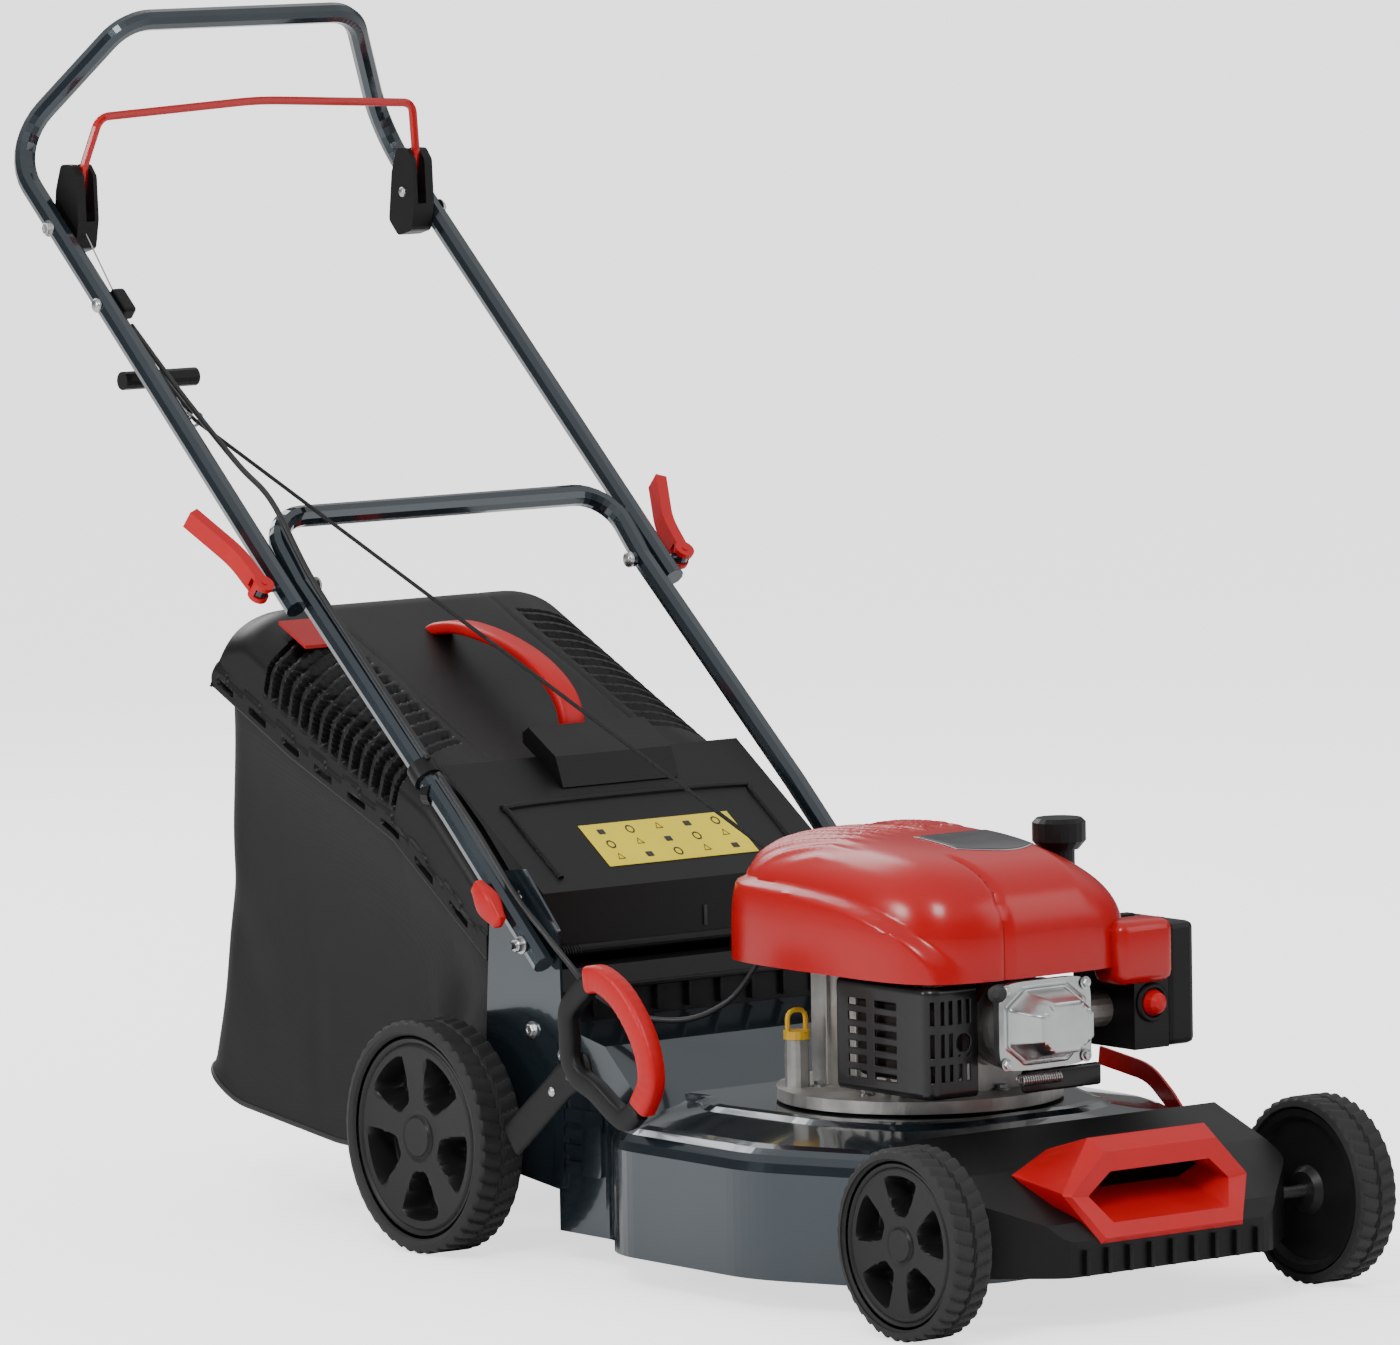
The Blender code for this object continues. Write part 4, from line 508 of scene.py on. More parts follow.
# Catcher bag: coarse black woven polyester, sewn as a wrap-round skirt and a floor, with a piped
# seam round the bottom. It is clipped into the lid's rim and sags between its corners.
weave = surface("bag_weave", (0.0085, 0.0082, 0.0082), 0.70, grain=600, depth=0.05, mottle=0.25, patch=22,
                shine=0.30)
tree = weave.node_tree
weave_place = add_node(tree, "TexCoord", {}).outputs["Object"]
threads = [add_node(tree, "TexWave", {"Vector": weave_place, "Scale": 330.0, "Distortion": 0.4},
                    wave_type="BANDS",
                    bands_direction=axis).outputs["Fac"] for axis in ("X", "Y", "Z")]
cross = add_node(tree, "Math", {0: threads[1], 1: threads[2]}, operation="MAXIMUM").outputs["Value"]
cloth = add_node(tree, "Math", {0: cross, 1: threads[0]}, operation="ADD").outputs["Value"]
plug(tree, tree.nodes["Bump"].inputs, {"Height": cloth, "Strength": 0.12})
plug(tree, tree.nodes["Principled BSDF"].inputs, {"Sheen Weight": 0.04})

BAG_FLOOR = np.array([(0.035, 0.160), (0.085, 0.156), (0.145, 0.088), (0.290, 0.078), (0.480, 0.102),
                      (0.545, 0.140)])
BAG_HALF = 0.193
creases = np.random.default_rng(7)
CREASE_SPANS = [(0.05, 0.95), (-0.22, 0.22), (0.008, 0.03), (-0.0062, 0.0068), (0.25, 0.9), (0.12, 0.35)]


def skirt_points():
    """Rows fall from the lid's rim to the hem, and columns run from the mouth round the back to the
    mouth again. The wall draws in at mid height by a sine, and soft folds slant across it."""
    turns = np.linspace(0, 1, 361)
    straight, corner = 0.450, 0.035
    lengths = np.array([straight, corner * np.pi / 2, 2 * (BAG_HALF - corner), corner * np.pi / 2, straight])
    ends = np.concatenate([[0], np.cumsum(lengths)])
    s = turns * ends[-1]
    leg, back_leg, leg_two = (np.clip(s - ends[k], 0, lengths[k]) for k in (0, 2, 4))
    arc_one, arc_two = (np.clip((s - ends[k]) / lengths[k], 0, 1) * np.pi / 2 for k in (1, 3))
    x = -BAG_HALF + corner * (1 - np.cos(arc_one)) + back_leg + corner * np.sin(arc_two)
    y = 0.036 + leg + corner * np.sin(arc_one) - corner * (1 - np.cos(arc_two)) - leg_two
    down = np.linspace(0, 1, 120)[:, None]
    reach = (y - 0.036) / (straight + corner)
    rim_y = 0.036 + reach * (0.492 - 0.036)
    hem_y = 0.036 + reach * (0.541 - 0.036)
    rim_z = np.interp(rim_y, LID_RIM[:, 0], LID_RIM[:, 1]) + 0.002
    hem_z = soft_line(hem_y, BAG_FLOOR, 0.02)
    z = rim_z * (1 - down) + hem_z * down
    y = rim_y * (1 - down) + hem_y * down
    facing = np.maximum(arc_one * (s < ends[2]), (np.pi / 2 - arc_two) * (s > ends[3]))
    outwards_x = np.where(np.abs(x) > BAG_HALF - corner, np.sign(x), 0) * np.cos(facing)
    outwards_y = np.sqrt(np.clip(1 - outwards_x ** 2, 0, 1))
    hollow = np.sin(np.pi * down ** 0.9) * (0.010 + 0.012 * np.sin(np.pi * np.clip(reach, 0, 1)))
    hollow = hollow * smooth_step(0.0, 0.18, reach)
    folds = np.zeros_like(z)
    for _ in range(22):
        centre, lean, breadth, height, at, fade = (creases.uniform(*span) for span in CREASE_SPANS)
        stretch = np.exp(-((down - at) / fade) ** 2)
        folds = folds + height * stretch * np.exp(-(((turns - centre) - lean * (down - at)) / breadth) ** 2)
    ripple = 0.0012 * np.sin(turns * 75 + 3 * down) * smooth_step(0.55, 1.0, down)
    push = (folds + ripple) * np.sin(np.pi * down) ** 0.7 - hollow
    hem = 0.002 * smooth_step(0.97, 1.0, down)
    return np.stack([x[None, :] + (push + hem) * outwards_x, y + (push + hem) * outwards_y, z], axis=-1)


skirt_grid = skirt_points()


def floor_points(hem, rows=40):
    """Rows cross from one side's hem to the other's, with the middle let down by a double sine."""
    count = hem.shape[0]
    half = count // 2
    left, right = hem[:half + 1], hem[::-1][:half + 1]
    t = np.linspace(0, 1, rows)[:, None, None]
    flat = left[None] * (1 - t) + right[None] * t
    sag = 0.004 * np.sin(np.pi * t[..., 0]) * np.sin(np.pi * np.linspace(0.06, 1, half + 1))[None, :]
    flat[..., 2] -= sag
    return flat


CLOTH_THICK = 0.0012
bag = finished("catcher_bag_cloth", grid_shape([skirt_grid, floor_points(skirt_grid[-1])], merge=2e-5,
                                               sliver=1e-6), weave,
               "catcher", stands_for=["catcher_bag"])
walled(bag, CLOTH_THICK)


def capped(path, rings):
    """Rings of points round a path, gathered to the path's own points at the two ends."""
    ends = [np.broadcast_to(path[i], rings[0].shape)[None] for i in (0, -1)]
    return np.concatenate([ends[0], rings, ends[1]])


def tube_points(path, radius, sides):
    """A round section carried along a path: at each point the section's two axes are square to the
    path's direction, taken from its neighbours, and the second is square to the first."""
    path = np.asarray(path, float)
    direction = np.gradient(path, axis=0)
    direction /= np.linalg.norm(direction, axis=1, keepdims=True)
    mean = np.abs(direction).mean(axis=0)
    lead = np.zeros(3)
    lead[int(np.argmin(mean))] = 1.0
    first = np.cross(direction, lead)
    first /= np.linalg.norm(first, axis=1, keepdims=True)
    second = np.cross(direction, first)
    angle = np.linspace(0, 2 * np.pi, sides, endpoint=False)
    radius = np.broadcast_to(np.asarray(radius, float), (len(path),))[:, None, None]
    return capped(path, path[:, None] + radius * (np.cos(angle)[None, :, None] * first[:, None]
                                                  + np.sin(angle)[None, :, None] * second[:, None]))


piping = tube_points(skirt_grid[-1] + [0, 0, -0.0008], 0.0026, 8)
grid_piece("bag_piping", piping, black_rubber, "catcher", around=True)


# Silencer guard: a pressed black cover wrapped round the silencer, with rows of cooling slots cut
# right through its side and front and one round hole for the outlet.
GUARD = np.array(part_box("muffler_guard"))
CELL, GUARD_WALL = 0.0011, 0.0022


def guard_piece():
    """Columns run along the side, round a quarter-circle corner and along the front; rows run up the
    wall and turn in over the top and bottom. Cells that lie in a slot are left out."""
    low, high = GUARD
    corner, lip = 0.014, 0.006
    side_run, arc, front_run = high[1] - low[1] - corner, corner * np.pi / 2, high[0] - low[0] - corner
    s = np.arange(0, side_run + arc + front_run, CELL)
    turn = np.clip((s - side_run) / arc, 0, 1) * np.pi / 2
    x = low[0] + corner * (1 - np.cos(turn)) + np.clip(s - side_run - arc, 0, None)
    y = high[1] - np.clip(s, 0, side_run) - corner * np.sin(turn)
    out_x, out_y = -np.cos(turn), -np.sin(turn)
    rise = np.arange(0, high[2] - low[2] - 2 * lip, CELL)
    roll = np.linspace(0, np.pi / 2, 5)
    shelf = np.array([0.004, 0.010])
    inwards = np.concatenate([lip + shelf[::-1], lip * (1 - np.cos(roll[::-1])), 0 * rise[1:-1],
                              lip * (1 - np.cos(roll)), lip + shelf])
    z = np.concatenate([low[2] + 0 * shelf, low[2] + lip * (1 - np.sin(roll[::-1])),
                        low[2] + lip + rise[1:-1],
                        high[2] - lip + lip * np.sin(roll), high[2] + 0 * shelf])
    grid = np.stack([x[None] - out_x[None] * inwards[:, None], y[None] - out_y[None] * inwards[:, None],
                     np.broadcast_to(z[:, None], (len(z), len(x)))], axis=-1)
    height, place = (z[:, None] - low[2]), s[None, :]
    row = ((height - 0.013) / 0.0136) % 1.0
    in_rows = (height > 0.013) & (height < 0.013 + 6 * 0.0136) & (row < 0.52)
    columns = ((place > 0.016) & (place < 0.044)) | ((place > 0.055) & (place < 0.089))
    along_front = place - side_run - arc
    upright = (along_front > -0.012) & (along_front < 0.038) & (((along_front + 0.012) / 0.0105) % 1.0 < 0.42)
    bands = ((height > 0.016) & (height < 0.032)) | ((height > 0.040) & (height < 0.062)) | \
            ((height > 0.070) & (height < 0.092))
    outlet = (along_front - 0.026) ** 2 + (height - 0.052) ** 2
    gone = (in_rows & columns) | (upright & bands & (outlet > 0.0125 ** 2)) | (outlet < 0.0085 ** 2)
    shape = grid_shape([grid], cells=~gone[:-1, :-1])
    bmesh.ops.delete(shape, geom=[v for v in shape.verts if not v.link_faces], context="VERTS")
    if sum((f.calc_center_median() - Vector((0.0, -0.45, 0.25))).dot(f.normal) for f in shape.faces) < 0:
        bmesh.ops.reverse_faces(shape, faces=shape.faces)
    walled(finished("silencer_guard", shape, guard_paint, "root",
                    stands_for=["muffler_guard"]),
           GUARD_WALL)


guard_piece()


# Rocker cover: a plated pressing on the head's front, a flat flange with four bolts round a
# raised middle with chamfered sides.
ROCKER = np.array(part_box("rocker_cover"))


def rocker_points():
    """Height by place: the flange's rounded rectangle steps up over a short chamfer to the middle,
    with u and v the distance out from the centre as a power mean, and a bead round the flange."""
    low, high = ROCKER
    half = (high - low) / 2
    centre = (high + low) / 2
    reach = np.concatenate([np.linspace(0, 0.62, 12), np.linspace(0.64, 0.86, 26),
                            np.linspace(0.87, 1.0, 16)])[:, None]
    angle = np.linspace(0, 2 * np.pi, 160, endpoint=False)[None, :]
    power = 1 / 3
    x = centre[0] + half[0] * reach * squared(np.cos(angle), power)
    z = centre[2] + half[2] * reach * squared(np.sin(angle), power)
    u, v = np.abs(x - centre[0]) / half[0], np.abs(z - centre[2]) / half[2]
    edge = np.maximum(np.maximum(u, v), (u + v) * 0.66)
    raised = 1 - smooth_step(0.54, 0.80, edge)
    bead = np.exp(-((edge - 0.86) / 0.02) ** 2)
    depth = high[1] - low[1]
    front = high[1] - 0.008 - (depth - 0.010) * raised - 0.0014 * bead
    face = np.stack([x, front, z], axis=-1)
    wall = face[-1:] * [1, 0, 1] + [0, high[1], 0]
    return np.concatenate([face, wall, wall * 0 + [centre[0], high[1], centre[2]]])


grid_piece("rocker_pressing", rocker_points(), plated_steel, "root", around=True, sharp=40,
           stands_for=["rocker_cover"])


# Bolts, nuts and washers: plated steel, six-sided or domed, each on the piece that it holds.
def square_to(axis):
    """Two unit directions square to an axis and to each other."""
    lead = np.array([0.0, 0.0, 1.0]) if abs(axis[2]) < 0.9 else np.array([1.0, 0.0, 0.0])
    first = np.cross(lead, axis)
    first /= np.linalg.norm(first)
    return first, np.cross(axis, first)


def turned_piece(name, outline, place, axis, body, finish=plated_steel, steps=24, six=False):
    """A profile of radius and height carried round an axis. A six-sided head's radius at an angle is
    its flat's half-width over the cosine of the angle from the nearest flat."""
    axis = np.array(axis, float) / np.linalg.norm(axis)
    first, second = square_to(axis)
    angle = np.linspace(0, 2 * np.pi, steps, endpoint=False)
    flat = np.cos(np.pi / 6) / np.cos((angle % (np.pi / 3)) - np.pi / 6) if six else np.ones_like(angle)
    outline = np.array(outline, float)
    r = outline[:, :1] * flat
    points = (np.array(place)[None, None] + outline[:, 1][:, None, None] * axis
              + (r * np.cos(angle))[..., None] * first + (r * np.sin(angle))[..., None] * second)
    return grid_piece(name, points, finish, body, around=True, sharp=32)


def hex_bolt(name, place, axis, across, body):
    """A flanged six-sided head: a round washer face and a chamfered head on it."""
    turned_piece(name + "_washer", [(0, 0), (across * 0.78, 0), (across * 0.78, 0.0012),
                                    (across * 0.5, 0.0016),
                                    (0, 0.0016)], place, axis, body, steps=28)
    turned_piece(name, [(0, 0.001), (across * 0.56, 0.001), (across * 0.56, across * 0.42),
                        (across * 0.50, across * 0.50),
                        (across * 0.30, across * 0.50), (across * 0.26, across * 0.44), (0, across * 0.44)],
                 place, axis, body, six=True)


def dome_head(name, place, axis, radius, body):
    """A domed rivet or coach-bolt head: a quarter ellipse turned round."""
    lean = np.linspace(0, np.pi / 2, 7)
    outline = [(0, 0), (radius, 0)] + [(radius * np.cos(a), 0.0008 + radius * 0.5 * np.sin(a)) for a in lean]
    turned_piece(name, outline, place, axis, body)


LOWER_TUBE_X, UPPER_TUBE_X, TUBE_R = 0.2136, 0.2362, 0.011
LOWER_PIVOT, FOLD_PIVOT = (-0.055, 0.310), (0.3175, 0.636)
up_tube = np.array([0.0, 0.790 - 0.3175, 1.060 - 0.636])
up_tube /= np.linalg.norm(up_tube)


def on_upper_tube(distance, x):
    """A point up the upper handle's side tube from the fold bolt."""
    return np.array([x, *FOLD_PIVOT]) + up_tube * distance


for hand, sign in (("left", 1), ("right", -1)):
    bracket_x = sign * (LOWER_TUBE_X + TUBE_R + 0.0006)
    turned_piece(f"pivot_nut_{hand}", [(0, 0), (0.0088, 0), (0.0088, 0.0015), (0.0066, 0.0018),
                                       (0.0066, 0.0075),
                                       (0.0058, 0.0086), (0.0036, 0.0086), (0.0034, 0.0105), (0, 0.0105)],
                 (bracket_x, *LOWER_PIVOT), (sign, 0, 0), "root")
    for number, (y, z) in enumerate(((-0.040, 0.2236), (-0.0916, 0.2040))):
        hex_bolt(f"bracket_bolt_{hand}_{number}", (sign * 0.2024, y, z), (sign, 0, 0), 0.011, "root")
    dome_head(f"fold_bolt_{hand}", (sign * (LOWER_TUBE_X - TUBE_R - 0.006), *FOLD_PIVOT), (-sign, 0, 0),
              0.0085,
              "upper_handle")
    hex_bolt(f"bail_bolt_{hand}", on_upper_tube(0.518, sign * (UPPER_TUBE_X + TUBE_R - 0.0006)),
             (sign, 0, 0), 0.011,
             "upper_handle")
    dome_head(f"bail_rivet_{hand}", (sign * 0.1992, 0.702, 1.000), (-sign, 0, 0), 0.0055, "upper_handle")
dome_head("cable_stop_bolt", on_upper_tube(0.405, -(UPPER_TUBE_X + TUBE_R - 0.0006)), (-1, 0, 0), 0.0075,
          "upper_handle")
for number, (x, z) in enumerate(((-0.0625, 0.2295), (-0.0625, 0.2985), (0.0345, 0.2295), (0.0345, 0.2985))):
    hex_bolt(f"rocker_bolt_{number}", (x, ROCKER[1][1] - 0.009, z), (0, -1, 0), 0.0078, "root")
for number, turn in enumerate((200, 245, 285, 320, 150)):
    spot = (0.097 * math.cos(math.radians(turn)), -0.3875 + 0.097 * math.sin(math.radians(turn)))
    hex_bolt(f"flange_bolt_{number}", (*spot, 0.1868), (0, 0, 1), 0.010, "root")
for number, (y, z) in enumerate(((-0.1509, 0.1795), (-0.1790, 0.1975))):
    dome_head(f"lever_rivet_{number}", (-0.2628, y, z), (-1, 0, 0), 0.0048, "height_lever")


# Springs: closed coils of bright wire, one that pulls the brake on by the rocker cover and one
# wound round each side of the discharge flap's hinge pin.
def coil(name, start, end, radius, wire, turns, body, finish=None):
    """A helix about the line from start to end: a circle's cos and sin across the line and an even climb
    along it."""
    start, end = np.array(start, float), np.array(end, float)
    line = end - start
    axis = line / np.linalg.norm(line)
    first, second = square_to(axis)
    t = np.linspace(0, 1, turns * 14 + 1)
    path = start + t[:, None] * line + radius * (np.cos(2 * np.pi * turns * t)[:, None] * first
                                                 + np.sin(2 * np.pi * turns * t)[:, None] * second)
    tangent = np.gradient(path, axis=0)
    tangent /= np.linalg.norm(tangent, axis=1, keepdims=True)
    out = path - (start + t[:, None] * line)
    out /= np.linalg.norm(out, axis=1, keepdims=True)
    other = np.cross(tangent, out)
    angle = np.linspace(0, 2 * np.pi, 8, endpoint=False)
    rings = path[:, None] + wire * (np.cos(angle)[None, :, None] * out[:, None]
                                    + np.sin(angle)[None, :, None] * other[:, None])
    return grid_piece(name, capped(path, rings), finish or bare_steel, body, around=True)


coil("brake_spring", (-0.042, -0.590, 0.212), (0.006, -0.590, 0.212), 0.0052, 0.0009, 17, "root")
for hand, x in (("right", -0.176), ("left", 0.150)):
    coil(f"flap_spring_{hand}", (x, -0.0465, 0.298), (x + 0.026, -0.0465, 0.298), 0.0055, 0.0009, 8, "root",
         guard_paint)


# Starter rope and brake cable. The rope is 4 mm braid held between the starter and the ring on the
# handle; the cable is a 6 mm black sheath from under the hood, past the clip, to its stop.
braid = surface("rope_braid", (0.020, 0.020, 0.021), 0.80, grain=2400, depth=0.25, mottle=0.7, patch=900,
                shine=0.2)
sheath = surface("cable_sheath", (0.012, 0.012, 0.013), 0.42, grain=900, depth=0.03, patch=80)
ROPE_R, CABLE_R, WIRE_R = 0.0020, 0.0030, 0.0008
ROPE_OUTLET = np.array([-0.040, -0.245, 0.385])
ROPE_MIDDLE = np.array([-0.120, 0.136, 0.5885])
ROPE_RING = np.array([-0.200, 0.517, 0.792])
BRAKE_UPPER = [(-0.2170, 0.602, 0.885), (-0.2120, 0.520, 0.817), (-0.2090, 0.430, 0.752),
               (-0.2090, 0.372, 0.717),
               (-0.2120, 0.300, 0.6425), (-0.2130, 0.200, 0.5565), (-0.2140, 0.108, 0.4785)]
BRAKE_LOWER = [(-0.2140, 0.0925, 0.4650), (-0.2140, 0.030, 0.4120), (-0.2140, -0.030, 0.3560),
               (-0.2140, -0.075, 0.3240), (-0.2080, -0.106, 0.2960), (-0.1920, -0.128, 0.2660),
               (-0.1620, -0.152, 0.2440), (-0.1250, -0.186, 0.2400), (-0.1000, -0.218, 0.2580),
               (-0.0900, -0.244, 0.2880), (-0.0860, -0.262, 0.3180)]


def smooth_route(knots, count):
    """A curve through the knots: on each stretch a cubic whose slopes are half the difference of the
    neighbouring knots, read at evenly spaced lengths."""
    knots = np.array(knots, float)
    ends = np.concatenate([[2 * knots[0] - knots[1]], knots, [2 * knots[-1] - knots[-2]]])
    t = np.linspace(0, 1, 24, endpoint=False)[:, None]
    pieces = [b + ((c - a) * t + (2 * a - 5 * b + 4 * c - d) * t ** 2 + (3 * b - a - 3 * c + d) * t ** 3) / 2
              for a, b, c, d in zip(ends[:-3], ends[1:-2], ends[2:-1], ends[3:])]
    fine = np.concatenate(pieces + [knots[-1:]])
    walked = np.concatenate([[0], np.cumsum(np.linalg.norm(np.diff(fine, axis=0), axis=1))])
    at = np.linspace(0, walked[-1], count)
    return np.stack([np.interp(at, walked, fine[:, k]) for k in range(3)], axis=1)


def length_of(route):
    """The sum of the steps along a route."""
    return float(np.linalg.norm(np.diff(route, axis=0), axis=1).sum())


def cord_piece(name, route, radius, finish, *nodes_replaced, sides=12):
    """A tube round a route, closed at both ends."""
    return finished(name, grid_shape([tube_points(route, radius, sides)], around=True), finish, None,
                    stands_for=nodes_replaced)


pull = np.array([0.0, 0.85, 0.53])
pull /= np.linalg.norm(pull)
rope_low_route = np.linspace(ROPE_OUTLET, ROPE_MIDDLE, 30)
rope_high_route = np.linspace(ROPE_MIDDLE, ROPE_RING, 30)
rope_low = cord_piece("starter_rope_run_lower", rope_low_route, ROPE_R, braid, "starter_rope_lower")
rope_high = cord_piece("starter_rope_run_upper", rope_high_route, ROPE_R, braid, "starter_rope_upper")
rope_tail = cord_piece("starter_rope_tail", np.linspace(ROPE_RING, ROPE_RING + pull * 0.040, 24),
                       ROPE_R * 0.98, braid)
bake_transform(rope_low)
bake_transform(rope_high)
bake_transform(rope_tail)
cable_high_route, cable_low_route = smooth_route(BRAKE_UPPER, 60), smooth_route(BRAKE_LOWER, 70)
cable_high = cord_piece("brake_cable_run_upper", cable_high_route, CABLE_R, sheath, "brake_cable_upper")
cable_low = cord_piece("brake_cable_run_lower", cable_low_route, CABLE_R, sheath, "brake_cable_lower")
inner_route = np.linspace((-0.2130, 0.694, 0.985), (-0.2168, 0.612, 0.893), 20)
inner_wire = cord_piece("brake_inner_wire", inner_route, WIRE_R, bare_steel, sides=8)
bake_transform(cable_high)
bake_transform(cable_low)
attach(inner_wire, "upper_handle")


# Discharge flap's face: a yellow notice plate with plain marks, a raised bead round its panel, and
# a moulded step above it.
def on_flap(x, y, lift):
    """Points of the flap's sloping face, which rises from its front edge to the lid's."""
    slope = np.array([0.164, 0.113])
    normal = np.array([-slope[1], slope[0]]) / np.linalg.norm(slope)
    z = 0.3545 + (y + 0.036) * slope[1] / slope[0]
    return np.stack([x, y + normal[0] * lift, z + normal[1] * lift], axis=-1)


notice_yellow = surface("notice_yellow", (0.86, 0.68, 0.010), 0.42, grain=700, depth=0.01, mottle=0.04,
                        patch=30)
# Dark print for the notice's marks; the same dark colour is also laid as painted shade in the flap's latch
# slot.
print_ink_and_slot_shade = surface("print_ink_and_slot_shade", (0.02, 0.02, 0.02), 0.5, grain=700, depth=0.01, patch=60)
plate_x, plate_y = np.meshgrid(np.linspace(-0.084, 0.101, 30), np.linspace(-0.0125, 0.0395, 12),
                               indexing="ij")
slab("notice_plate", on_flap(plate_x, plate_y, 0.0007), 0.0005, notice_yellow, "discharge_flap")
CELL_X, CELL_Y = 0.0355, 0.0160


def mark_points(kind, x0, y0):
    """A ring's or a bar's two edges: a triangle, a circle or a cross stroke, as radius by angle."""
    angle = np.linspace(0, 2 * np.pi, 37)
    if kind == 0:
        r = 0.0052 * np.cos(np.pi / 3) / np.cos((angle - np.pi / 2) % (2 * np.pi / 3) - np.pi / 3)
        inner = r * 0.72
    elif kind == 1:
        r, inner = 0.0050 + 0 * angle, 0.0034 + 0 * angle
    else:
        r = 0.0042 / np.maximum(np.abs(np.cos(angle)), np.abs(np.sin(angle)) * 1.4)
        inner = r * 0.0
    return np.stack([on_flap(x0 + k * np.cos(angle), y0 + k * np.sin(angle), 0.0011)
                     for k in (r, (r + inner) / 2, inner)])


for number in range(15):
    column, row = number % 5, number // 5
    spot_x, spot_y = -0.0630 + column * CELL_X, -0.0025 + row * CELL_Y
    slab(f"notice_mark_{number}", mark_points((column * 2 + row) % 3, spot_x, spot_y), 0.0003, print_ink_and_slot_shade,
         "discharge_flap")

step_line = [(-0.150, -0.020), (-0.150, 0.060), (-0.143, 0.0705), (0.0, 0.0730), (0.143, 0.0705),
             (0.150, 0.060),
             (0.150, -0.020)]
step_route = smooth_route([tuple(on_flap(np.array(x), np.array(y), 0.0002)) for x, y in step_line], 90)
grid_piece("flap_bead", tube_points(step_route, 0.0034, 10), black_plastic, "discharge_flap",
           around=True)


def moulded_block(name, low, high, rounding, finish=black_plastic, body="root",
                  taper=0.0):
    """A box whose top is drawn in by taper, with every edge rounded."""
    shape = bmesh.new()
    bmesh.ops.create_cube(shape, size=1.0)
    low, high = np.array(low, float), np.array(high, float)
    share = np.array([corner.co for corner in shape.verts]) + 0.5
    draw_in = np.where(share[:, 2:] > 0.5, 1 - taper, 1.0) * [[1, 1, 0]] + [[0, 0, 1]]
    middle = (low + high) / 2
    for corner, place in zip(shape.verts, middle + (share - 0.5) * (high - low) * draw_in):
        corner.co = place
    bmesh.ops.bevel(shape, geom=list(shape.edges), offset=rounding, segments=4, profile=0.5, affect="EDGES")
    bmesh.ops.recalc_face_normals(shape, faces=shape.faces)
    return finished(name, shape, finish, body, sharp=50)


# Height lever: a steel foot on the pivot carries a D-shaped black frame, and the frame's outer bow
# is a broad red grip ribbed for the fingers.
LEVER_X = -0.2665


def strap(name, stations, breadth, thick, middle, finish, stands_for=(), body="height_lever", ribs=0.0,
          pitch=0.009):
    """A bar bent in the plane of the mower's side: its rounded-square section, cos and sin to the
    power a half, follows a smoothed path, and a cosine of the length raises the finger ribs."""
    route = smooth_route([(middle, y, z) for y, z in stations], 120)
    heading = np.gradient(route, axis=0)
    heading /= np.linalg.norm(heading, axis=1, keepdims=True)
    across_bar = np.cross(heading, [1.0, 0.0, 0.0])
    walked = np.linspace(0, length_of(route), len(route))
    angle = np.linspace(0, 2 * np.pi, 28, endpoint=False)
    ends = np.minimum(1, np.sqrt(np.clip(np.minimum(walked, walked[-1] - walked) + 0.0004, 0, 0.004) / 0.004))
    swell = (1 + ribs * np.cos(2 * np.pi * walked / pitch))[:, None] * ends[:, None]
    wide = breadth / 2 * swell * squared(np.cos(angle), 0.5)
    deep = thick / 2 * swell * squared(np.sin(angle), 0.5)
    rings = route[:, None] + wide[..., None] * across_bar[:, None] + deep[..., None] * [1.0, 0.0, 0.0]
    grid_piece(name, capped(route, rings), finish, body, around=True, stands_for=stands_for)


strap("lever_grip_bow", [(-0.2160, 0.2940), (-0.2400, 0.2960), (-0.2728, 0.2796), (-0.3031, 0.2442),
                         (-0.3130, 0.2069), (-0.2960, 0.1760)], 0.027, 0.019, LEVER_X, red_plastic,
      ["height_lever_grip"], ribs=0.008)
strap("lever_frame", [(-0.2960, 0.1790), (-0.2695, 0.1662), (-0.2260, 0.1887), (-0.2000, 0.1990),
                      (-0.1875, 0.2150), (-0.1855, 0.2400), (-0.1875, 0.2640), (-0.2200, 0.2920)],
      0.023, 0.015, LEVER_X, black_plastic)
strap("lever_foot", [(-0.2100, 0.2080), (-0.1750, 0.1960), (-0.1377, 0.1683), (-0.0780, 0.1230)],
      0.034, 0.007, -0.2600, black_plastic, ["height_lever"])

# Catcher handle, wing knobs and cable clip: a thick arched grip over the lid, two-lobed red knobs
# on zinc bolts, and a black band that holds the cable to the lower tube.
strap("catcher_grip_arch", [(0.1580, 0.4720), (0.1600, 0.5020), (0.1760, 0.5270), (0.2150, 0.5510),
                            (0.2700, 0.5690), (0.3300, 0.5785), (0.3720, 0.5760), (0.3900, 0.5690)],
      0.0135, 0.0270, 0.0, red_plastic, ["catcher_handle"], body="catcher")
KNOB_PLACE, KNOB_LENGTH = np.array([-0.0145, 0.3472]), 0.056
up_lower_tube = np.array([0.737, 0.676])
for hand, sign in (("left", 1), ("right", -1)):
    body = f"wing_knob_{hand}"
    wing_line = [tuple(KNOB_PLACE + up_lower_tube * KNOB_LENGTH * share) for share in (-0.5, -0.2, 0.2, 0.5)]
    strap(f"{body}_wings", wing_line, 0.0215, 0.0135, sign * 0.2345, red_plastic, [body], body=body,
          ribs=-0.26,
          pitch=KNOB_LENGTH)
    turned_piece(f"{body}_bolt", [(0, 0), (0.0065, 0), (0.0065, 0.0035), (0.0035, 0.0040), (0.0035, 0.0340),
                                  (0, 0.0340)],
                 (sign * 0.1955, *KNOB_PLACE), (sign, 0, 0), body)
turned_piece("cable_clip_band", [(0.0112, 0), (0.0150, 0.0010), (0.0155, 0.0100), (0.0150, 0.0190),
                                 (0.0112, 0.0200)], (-LOWER_TUBE_X, 0.1080, 0.4570), (0, *up_lower_tube),
             "lower_handle", black_plastic)

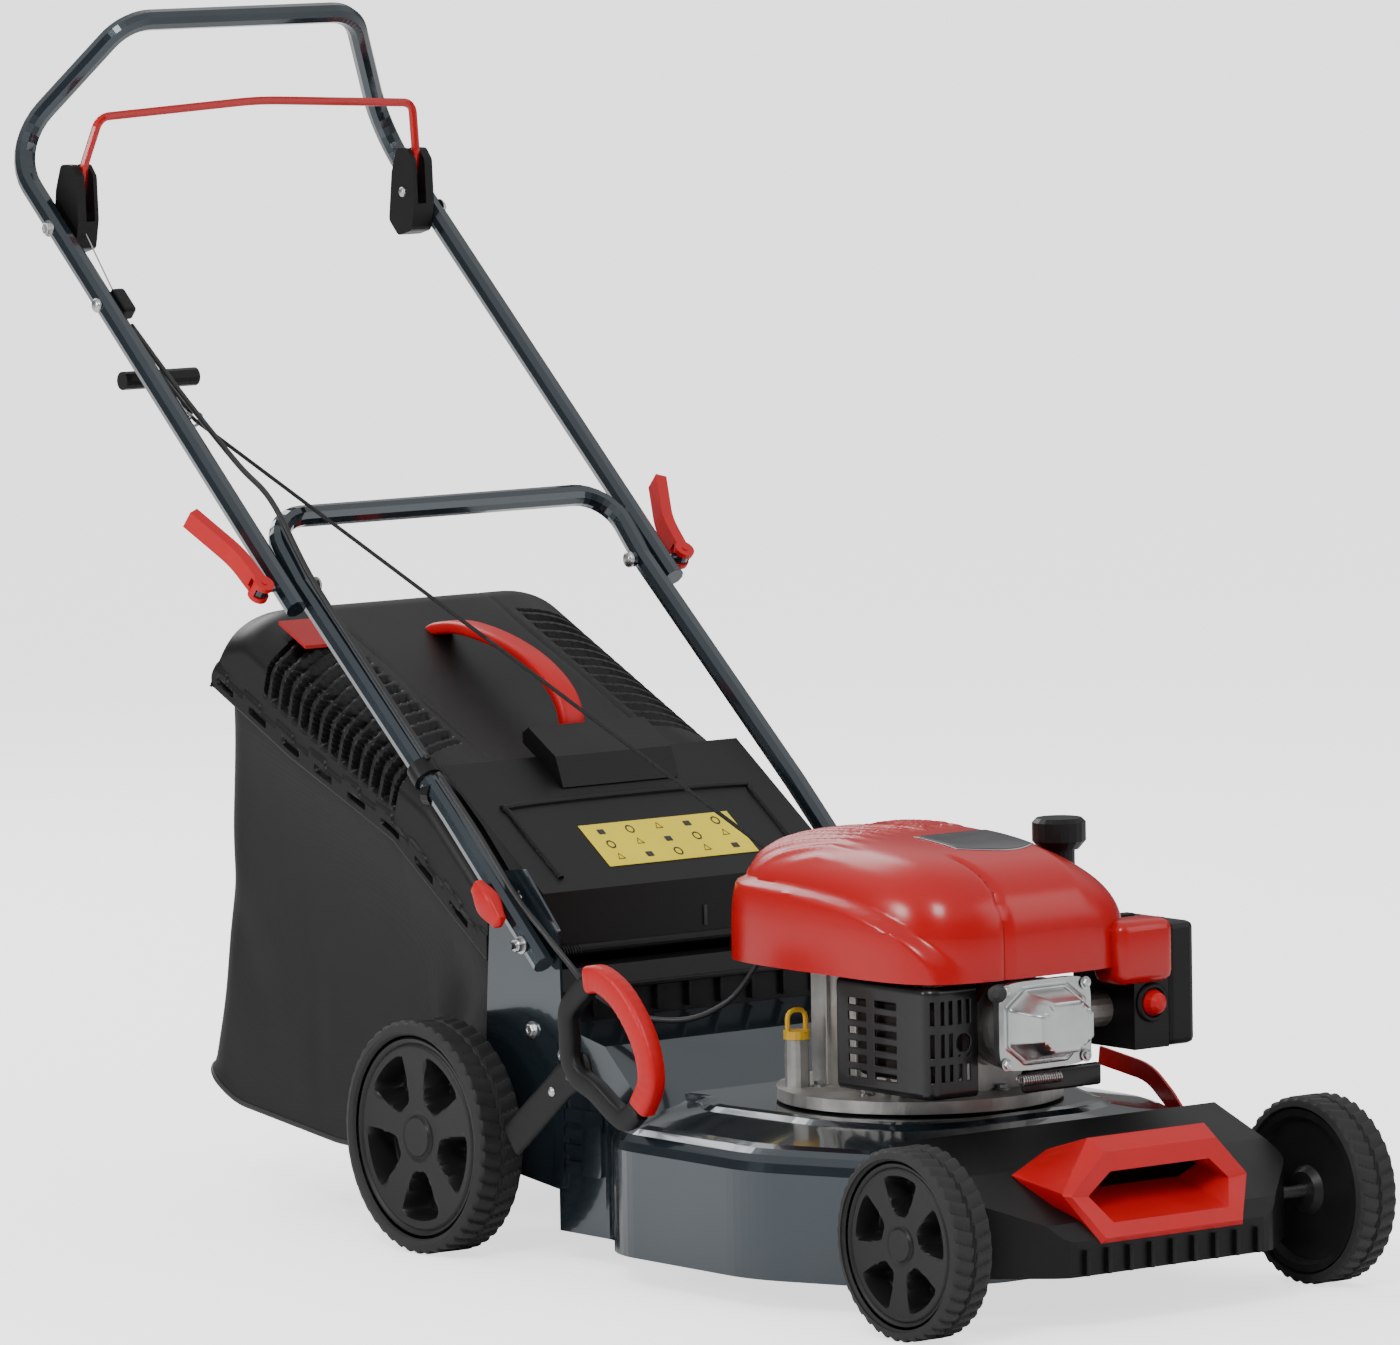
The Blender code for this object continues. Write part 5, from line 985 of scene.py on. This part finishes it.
# Plug boot: ribbed rubber, pushed up to the head beside the rocker cover, below the hood's edge.
boot_line = np.linspace((-0.052, -0.578, 0.296), (-0.079, -0.601, 0.298), 40)
boot_share = np.linspace(0, 1, 40)
boot_swell = 0.0080 + 0.0006 * np.cos(9 * np.pi * boot_share) - 0.004 * smooth_step(0.9, 1.0, boot_share)
grid_piece("plug_boot_moulding", tube_points(boot_line, boot_swell, 18), black_rubber, "root",
           around=True,
           stands_for=["spark_plug_boot"])


# Carry handle: a faceted red loop that stands up from the front cover's nose. Its back slopes down
# to the cover as two wings, and a scooped shelf lies inside the finger window.
HANDLE_ROWS = [
    [(0.084, -0.7440, 0.0800), (0.108, -0.7140, 0.1110), (0.1180, -0.6680, 0.1385), (0.050, -0.6380, 0.1530)],
    [(0.086, -0.7590, 0.0810), (0.111, -0.7340, 0.1250), (0.1105, -0.7325, 0.1270), (0.071, -0.7225, 0.1745)],
    [(0.083, -0.7625, 0.0860), (0.1065, -0.7415, 0.1245), (0.1060, -0.7412, 0.1262),
     (0.068, -0.7435, 0.1630)],
    [(0.070, -0.7580, 0.0990), (0.085, -0.7405, 0.1225), (0.0845, -0.7405, 0.1240), (0.060, -0.7420, 0.1440)],
    [(0.058, -0.7000, 0.1230), (0.076, -0.7040, 0.1330), (0.0755, -0.7040, 0.1340), (0.055, -0.7100, 0.1480)]]


def handle_loop(corners):
    """A closed row: the left side's corners and their mirror images, with even steps between them."""
    left_side = [(-x, y, z) for x, y, z in corners]
    return along(left_side + corners[::-1] + left_side[:1], 5)[:-1]


loop = grid_piece("carry_handle_loop", np.stack([handle_loop(row) for row in HANDLE_ROWS]), red_plastic,
                  "root",
                  around=True, sharp=22, stands_for=["carry_handle"])
walled(loop, 0.0022)
eased(loop, 0.0014, 24)


# Front cover's foot and air box fittings: stiffening ribs under the cover's front edge, clips over
# the filter cover's top, a bezel round the primer bulb and a red apron from the hood.
for number in range(9):
    x = -0.104 + number * 0.026
    moulded_block(f"front_rib_{number}", (x - 0.0022, -0.7622, 0.0525), (x + 0.0022, -0.7535, 0.0765), 0.0009)
FILTER = np.array(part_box("air_filter_cover"))
for number, y in enumerate((-0.560, -0.515)):
    moulded_block(f"filter_clip_{number}", (FILTER[0][0] - 0.014, y - 0.006, FILTER[1][2] - 0.001),
                  (FILTER[0][0] + 0.010, y + 0.006, FILTER[1][2] + 0.0035), 0.0014, body="air_filter_cover")
turned_piece("primer_bezel", [(0.0140, 0), (0.0190, 0), (0.0190, 0.0015), (0.0172, 0.0030), (0.0146, 0.0030),
                              (0.0138, 0.0012), (0.0140, 0)], (0.127, -0.5828, 0.270), (0, -1, 0), "root",
             black_plastic, steps=40)
moulded_block("hood_apron", (0.078, -0.5960, 0.2900), (0.1465, -0.5500, 0.3510), 0.0110, red_paint)
for number, x in enumerate(np.linspace(-0.156, 0.156, 9)):
    moulded_block(f"chute_rib_{number}", (x - 0.0016, -0.0795, 0.2360), (x + 0.0016, -0.0748, 0.2615), 0.0006)
moulded_block("chute_ledge", (-0.160, -0.0815, 0.2605), (0.160, -0.0745, 0.2655), 0.0015)
# A thin dark sheet stands where the flap's latch slot opens: painted shade in place of the slot's depth.
moulded_block("flap_latch_slot_painted_shade", (0.0120, -0.0376, 0.307), (0.0160, -0.0362, 0.327), 0.0004, print_ink_and_slot_shade,
              "discharge_flap")
for number, y in enumerate(np.linspace(-0.452, -0.340, 6)):
    moulded_block(f"case_rib_{number}", (-0.0770, y - 0.0018, 0.1860), (-0.0700, y + 0.0018, 0.2980), 0.0013,
                  cast_alloy, taper=0.25)
moulded_block("intake_shield", (-0.034, -0.5880, 0.1985), (0.060, -0.5800, 0.2200), 0.003, guard_paint)
